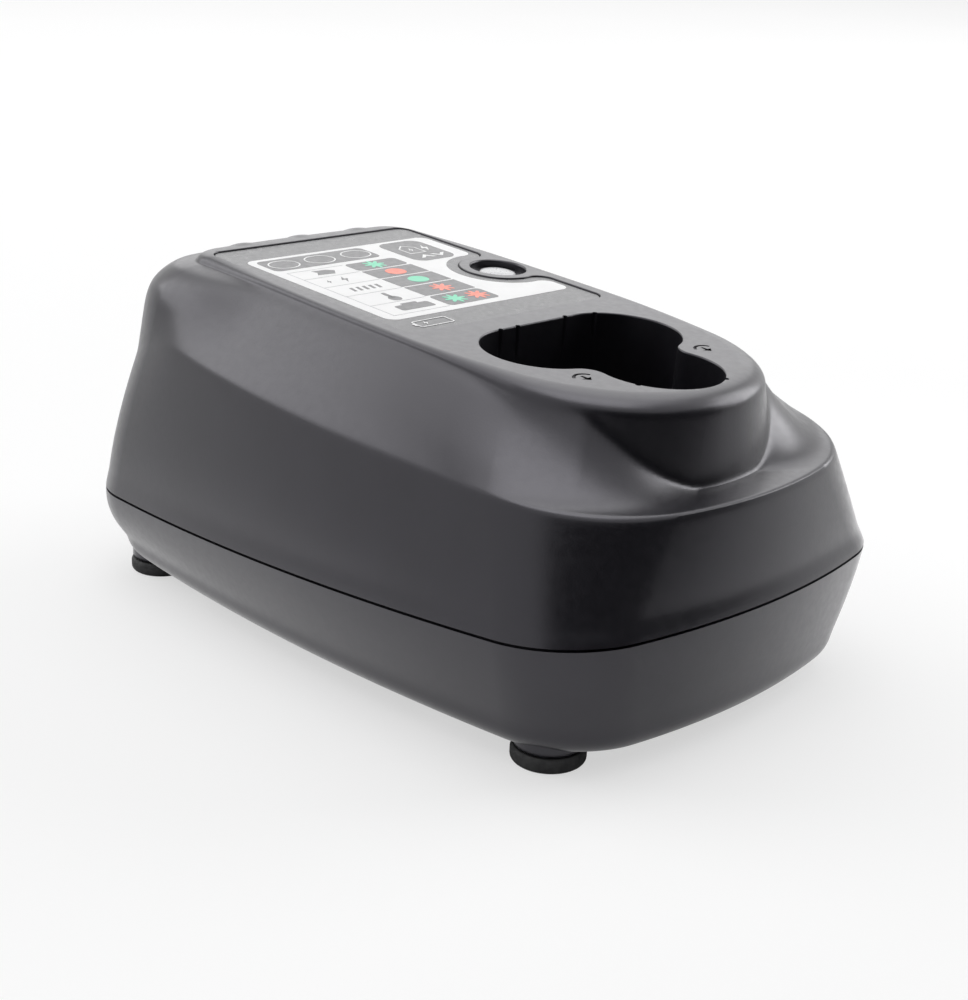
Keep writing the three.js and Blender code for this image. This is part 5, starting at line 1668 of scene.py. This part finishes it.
def makeChip(name, node, count):
    # a body that narrows to its top and bottom, a sunk dot at one end and legs bent down at both sides
    low, high = span(node)
    legRoom = 0.9
    levels = [low[2] + 0.25, (low[2] + high[2]) / 2 - 0.15, (low[2] + high[2]) / 2 + 0.15, high[2]]
    outlines = np.stack([
        roundedBox(low[0] + i, high[0] - i, low[1] + legRoom + i, high[1] - legRoom - i, 0.15, 3)
        for i in (0.18, 0, 0, 0.18)
    ])
    body = newPiece(name + "_body", loftShape(raised(outlines, levels)), mouldedEpoxy)
    combine(body, turnedShape(low[0] + 1.3, low[1] + legRoom + 1.2, [[0.45, high[2] - 0.2], [0.45, high[2] + 1]], 20))
    body.data.materials.clear()
    body.data.materials.append(mouldedEpoxy)
    evenNormals(body)
    settle(body, "chip", node)
    middle = (low[0] + high[0]) / 2
    places = [middle + 2.54 * (n - (count - 1) / 2) for n in range(count)]
    legs = []
    for x in places:
        for edge, into in ((low[1] + 0.3, 1), (high[1] - 0.3, -1)):
            inside = edge + into * 1.0
            a, b = sorted([edge, inside])
            legs.append(boxShape([x - 0.6, a, levels[1]], [x + 0.6, b, levels[2]]))
            a, b = sorted([edge, edge + into * 0.3])
            legs.append(boxShape([x - 0.55, a, boardOver + 0.6], [x + 0.55, b, levels[1] + 0.1]))
            legs.append(boxShape([x - 0.25, a, boardUnder - 0.6], [x + 0.25, b, boardOver + 0.7]))
            legPlaces.append((x, edge + into * 0.15))
    settle(newPiece(name + "_legs", merged(*legs), brightTin), "steel")


makeRectifier()
makeTabPart("transistor", "switching_transistor", -1)
makeTabPart("diode", "output_diode", 1)
makeSink("transistor_sink_plate", "transistor_heat_sink")
makeSink("diode_sink_plate", "diode_heat_sink")
makeChip("coupler", "optocoupler", 2)
makeChip("controller", "control_chip", 4)


def makeJoints():
    # a small cone of solder under every leg
    b = boardShape
    profile = np.array([[0.15, -b["jointDrop"]], [0.35, -0.6], [0.6, -0.2], [b["joint"], 0.03]]) + [0, boardUnder]
    joints = [turnedShape(x, y, profile, 12) for x, y in legPlaces]
    settle(newPiece("solder_joints", merged(*joints), brightTin), "steel")


makeJoints()


# Leads keep their own nodes, with a rounder skin

def dressLead(node, finish):
    lead = nodes[node]
    lead.data.materials.clear()
    lead.data.materials.append(finish)
    weld = lead.modifiers.new("join", "WELD")
    weld.merge_threshold = 0.00001
    rounder = lead.modifiers.new("round", "SUBSURF")
    rounder.levels = 1
    rounder.render_levels = 1


for node, colour in (
    ("mains_lead_left", "blue"), ("mains_lead_right", "brown"), ("output_lead_plus", "red"),
    ("output_lead_sense", "white"), ("output_lead_minus", "black"),
):
    dressLead(node, leadCover[colour])

# The nodes that pieces stand for keep the case's and the rubber's finishes
hiddenFinish = {
    "case": casePlastic, "inner": innerPlastic, "film": filmBase, "clear": frostedClear, "rubber": footRubber,
    "steel": zincSteel, "brass": contactBrass, "board": maskGreen, "ferrite": groundFerrite, "tape": yellowTape,
    "can": shrinkSleeve, "copper": enamelWire, "chip": mouldedEpoxy, "aluminium": shearedSheet,
    "red": redLamp, "green": greenLamp,
}
for part in frame["record"]["subparts"]:
    if part["material_slot"] in hiddenFinish and not part["node"].startswith(("mains_lead", "output_lead")):
        node = nodes[part["node"]]
        node.data.materials.clear()
        node.data.materials.append(hiddenFinish[part["material_slot"]])
print("leads and nodes finished")


# Stage: a pale floor and soft light

stageLook = {"floorSize": 14.0, "floorColour": (0.9, 0.9, 0.902), "floorGlow": 0.6, "worldFill": 0.4}


def addGlow(paint, share):
    # what the camera sees is part plain white, so that shadows stay faint
    tree = paint.node_tree
    shader = tree.nodes["Principled BSDF"]
    path = tree.nodes.new("ShaderNodeLightPath")
    part = tree.nodes.new("ShaderNodeMath")
    part.operation = "MULTIPLY"
    part.inputs[1].default_value = share
    white = tree.nodes.new("ShaderNodeEmission")
    mix = tree.nodes.new("ShaderNodeMixShader")
    tree.links.new(path.outputs["Is Camera Ray"], part.inputs[0])
    tree.links.new(part.outputs[0], mix.inputs["Fac"])
    tree.links.new(shader.outputs[0], mix.inputs[1])
    tree.links.new(white.outputs[0], mix.inputs[2])
    tree.links.new(mix.outputs[0], tree.nodes["Material Output"].inputs["Surface"])


def makeStage(s):
    half = s["floorSize"] / 2 / mm
    floor = newPiece("floor", boxShape([-half, -half, -20], [half, half, 0]))
    paint = newFinish("floor_paint", s["floorColour"], 0.9)
    addSheen(paint, 0.85, 0.95, 3)
    addGlow(paint, s["floorGlow"])
    floor.data.materials.append(paint)
    world = bpy.data.worlds.new("studio")
    bpy.context.scene.world = world
    world.use_nodes = True
    tree = world.node_tree
    tree.nodes.clear()
    out = tree.nodes.new("ShaderNodeOutputWorld")
    seen = tree.nodes.new("ShaderNodeBackground")
    fill = tree.nodes.new("ShaderNodeBackground")
    mix = tree.nodes.new("ShaderNodeMixShader")
    path = tree.nodes.new("ShaderNodeLightPath")
    anyOf = tree.nodes.new("ShaderNodeMath")
    anyOf.operation = "MAXIMUM"
    anyOf2 = tree.nodes.new("ShaderNodeMath")
    anyOf2.operation = "MAXIMUM"
    seen.inputs["Color"].default_value = (1, 1, 1, 1)
    fill.inputs["Color"].default_value = (1, 1, 1, 1)
    seen.inputs["Strength"].default_value = 1.0
    fill.inputs["Strength"].default_value = s["worldFill"]
    tree.links.new(path.outputs["Is Camera Ray"], anyOf.inputs[0])
    tree.links.new(path.outputs["Is Glossy Ray"], anyOf.inputs[1])
    tree.links.new(anyOf.outputs[0], anyOf2.inputs[0])
    tree.links.new(path.outputs["Is Transmission Ray"], anyOf2.inputs[1])
    tree.links.new(anyOf2.outputs[0], mix.inputs["Fac"])
    tree.links.new(fill.outputs[0], mix.inputs[1])
    tree.links.new(seen.outputs[0], mix.inputs[2])
    tree.links.new(mix.outputs[0], out.inputs["Surface"])


def makeLamp(name, place, target, size, power):
    data = bpy.data.lights.new(name, "AREA")
    data.shape = "RECTANGLE"
    data.size, data.size_y = size
    data.energy = power
    lamp = bpy.data.objects.new(name, data)
    bpy.context.scene.collection.objects.link(lamp)
    ahead = np.array(target, float) - np.array(place, float)
    ahead /= np.linalg.norm(ahead)
    side = np.cross(ahead, [0, 0, 1.0] if abs(ahead[2]) < 0.99 else [0, 1.0, 0])
    side /= np.linalg.norm(side)
    axes = np.eye(4)
    axes[:3, 0] = side
    axes[:3, 1] = np.cross(side, ahead)
    axes[:3, 2] = -ahead
    axes[:3, 3] = place
    lamp.matrix_world = Matrix(axes.tolist())
    lamp.visible_camera = False
    return lamp


def makeSun(direction, angle, strength):
    # a wide even light from far off, given by where it comes from
    data = bpy.data.lights.new("sky", "SUN")
    data.energy = strength
    data.angle = math.radians(angle)
    lamp = bpy.data.objects.new("sky", data)
    bpy.context.scene.collection.objects.link(lamp)
    lamp.rotation_mode = "QUATERNION"
    lamp.rotation_quaternion = Vector(direction).to_track_quat("Z", "Y")


def makeCard(name, place, target, size, strength, flag=False, fade=0.0):
    # a panel beside the camera's view that only reflections see, or that also keeps light off:
    # with a fade it thins out evenly to nothing at that distance
    ahead = np.array(target, float) - np.array(place, float)
    ahead /= np.linalg.norm(ahead)
    side = np.cross(ahead, [0, 0, 1.0])
    side /= np.linalg.norm(side)
    up = np.cross(side, ahead)
    half = np.array(size) / 2
    corners = np.array([
        np.array(place) + a * half[0] * side + b * half[1] * up for a, b in ((-1, -1), (1, -1), (1, 1), (-1, 1))
    ])
    card = newPiece(name, (corners / mm, [[0, 1, 2, 3]]))
    glow = bpy.data.materials.new(name + "_glow")
    glow.use_nodes = True
    tree = glow.node_tree
    tree.nodes.clear()
    out = tree.nodes.new("ShaderNodeOutputMaterial")
    light = tree.nodes.new("ShaderNodeEmission")
    light.inputs["Color"].default_value = (1, 1, 1, 1)
    light.inputs["Strength"].default_value = strength
    tree.links.new(light.outputs[0], out.inputs["Surface"])
    if fade:
        spot = tree.nodes.new("ShaderNodeTexCoord")
        centred = tree.nodes.new("ShaderNodeMapping")
        centred.inputs["Location"].default_value = [-c / fade for c in place]
        centred.inputs["Scale"].default_value = [1 / fade] * 3
        falloff = tree.nodes.new("ShaderNodeTexGradient")
        falloff.gradient_type = "SPHERICAL"
        clear = tree.nodes.new("ShaderNodeBsdfTransparent")
        mix = tree.nodes.new("ShaderNodeMixShader")
        tree.links.new(spot.outputs["Object"], centred.inputs["Vector"])
        tree.links.new(centred.outputs[0], falloff.inputs["Vector"])
        tree.links.new(falloff.outputs["Fac"], mix.inputs["Fac"])
        tree.links.new(clear.outputs[0], mix.inputs[1])
        tree.links.new(light.outputs[0], mix.inputs[2])
        tree.links.new(mix.outputs[0], out.inputs["Surface"])
    card.data.materials.append(glow)
    card.visible_camera = False
    card.visible_diffuse = flag
    card.visible_shadow = flag
    card.visible_transmission = False


makeStage(stageLook)
makeSun((0.1, 0.25, 1.0), 60, 1.0)
makeLamp("left_lamp", (-0.8, 1.65, 1.25), (0, 0, 0.03), (1.5, 1.2), 13.5)
makeLamp("right_lamp", (1.8, -0.55, 0.95), (0, 0, 0.03), (1.3, 1.1), 19)
makeCard("rear_card", (1.9, 1.9, 1.6), (0, 0, 0.05), (2.6, 2.4), 2.0)
makeCard("top_card", (0.85, 0.55, 1.75), (0, 0, 0.05), (1.0, 1.0), 3.0)
makeCard("over_card", (-0.1, -0.1, 1.9), (0, 0, 0.05), (1.2, 1.2), 4.2)
makeCard("dark_card_left", (-0.72, -1.03, 0.48), (0, 0, 0.2), (1.4, 1.0), 0.0, True)
makeCard("dark_card_right", (0.33, -1.22, 0.45), (0, 0, 0.2), (1.6, 0.95), 0.0, True)
makeCard("dark_floor", (-0.07, -0.71, 0.004), (-0.069, -0.7, 1.0), (1.0, 1.18), 0.0)
makeCard("right_floor", (0.12, -0.045, 0.003), (0.13, -0.045, 1.0), (0.28, 0.28), 2.2, fade=0.14)
makeCard("left_floor", (-0.1, 0.04, 0.003), (-0.11, 0.04, 1.0), (0.36, 0.36), 1.5, fade=0.18)
print("stage made")
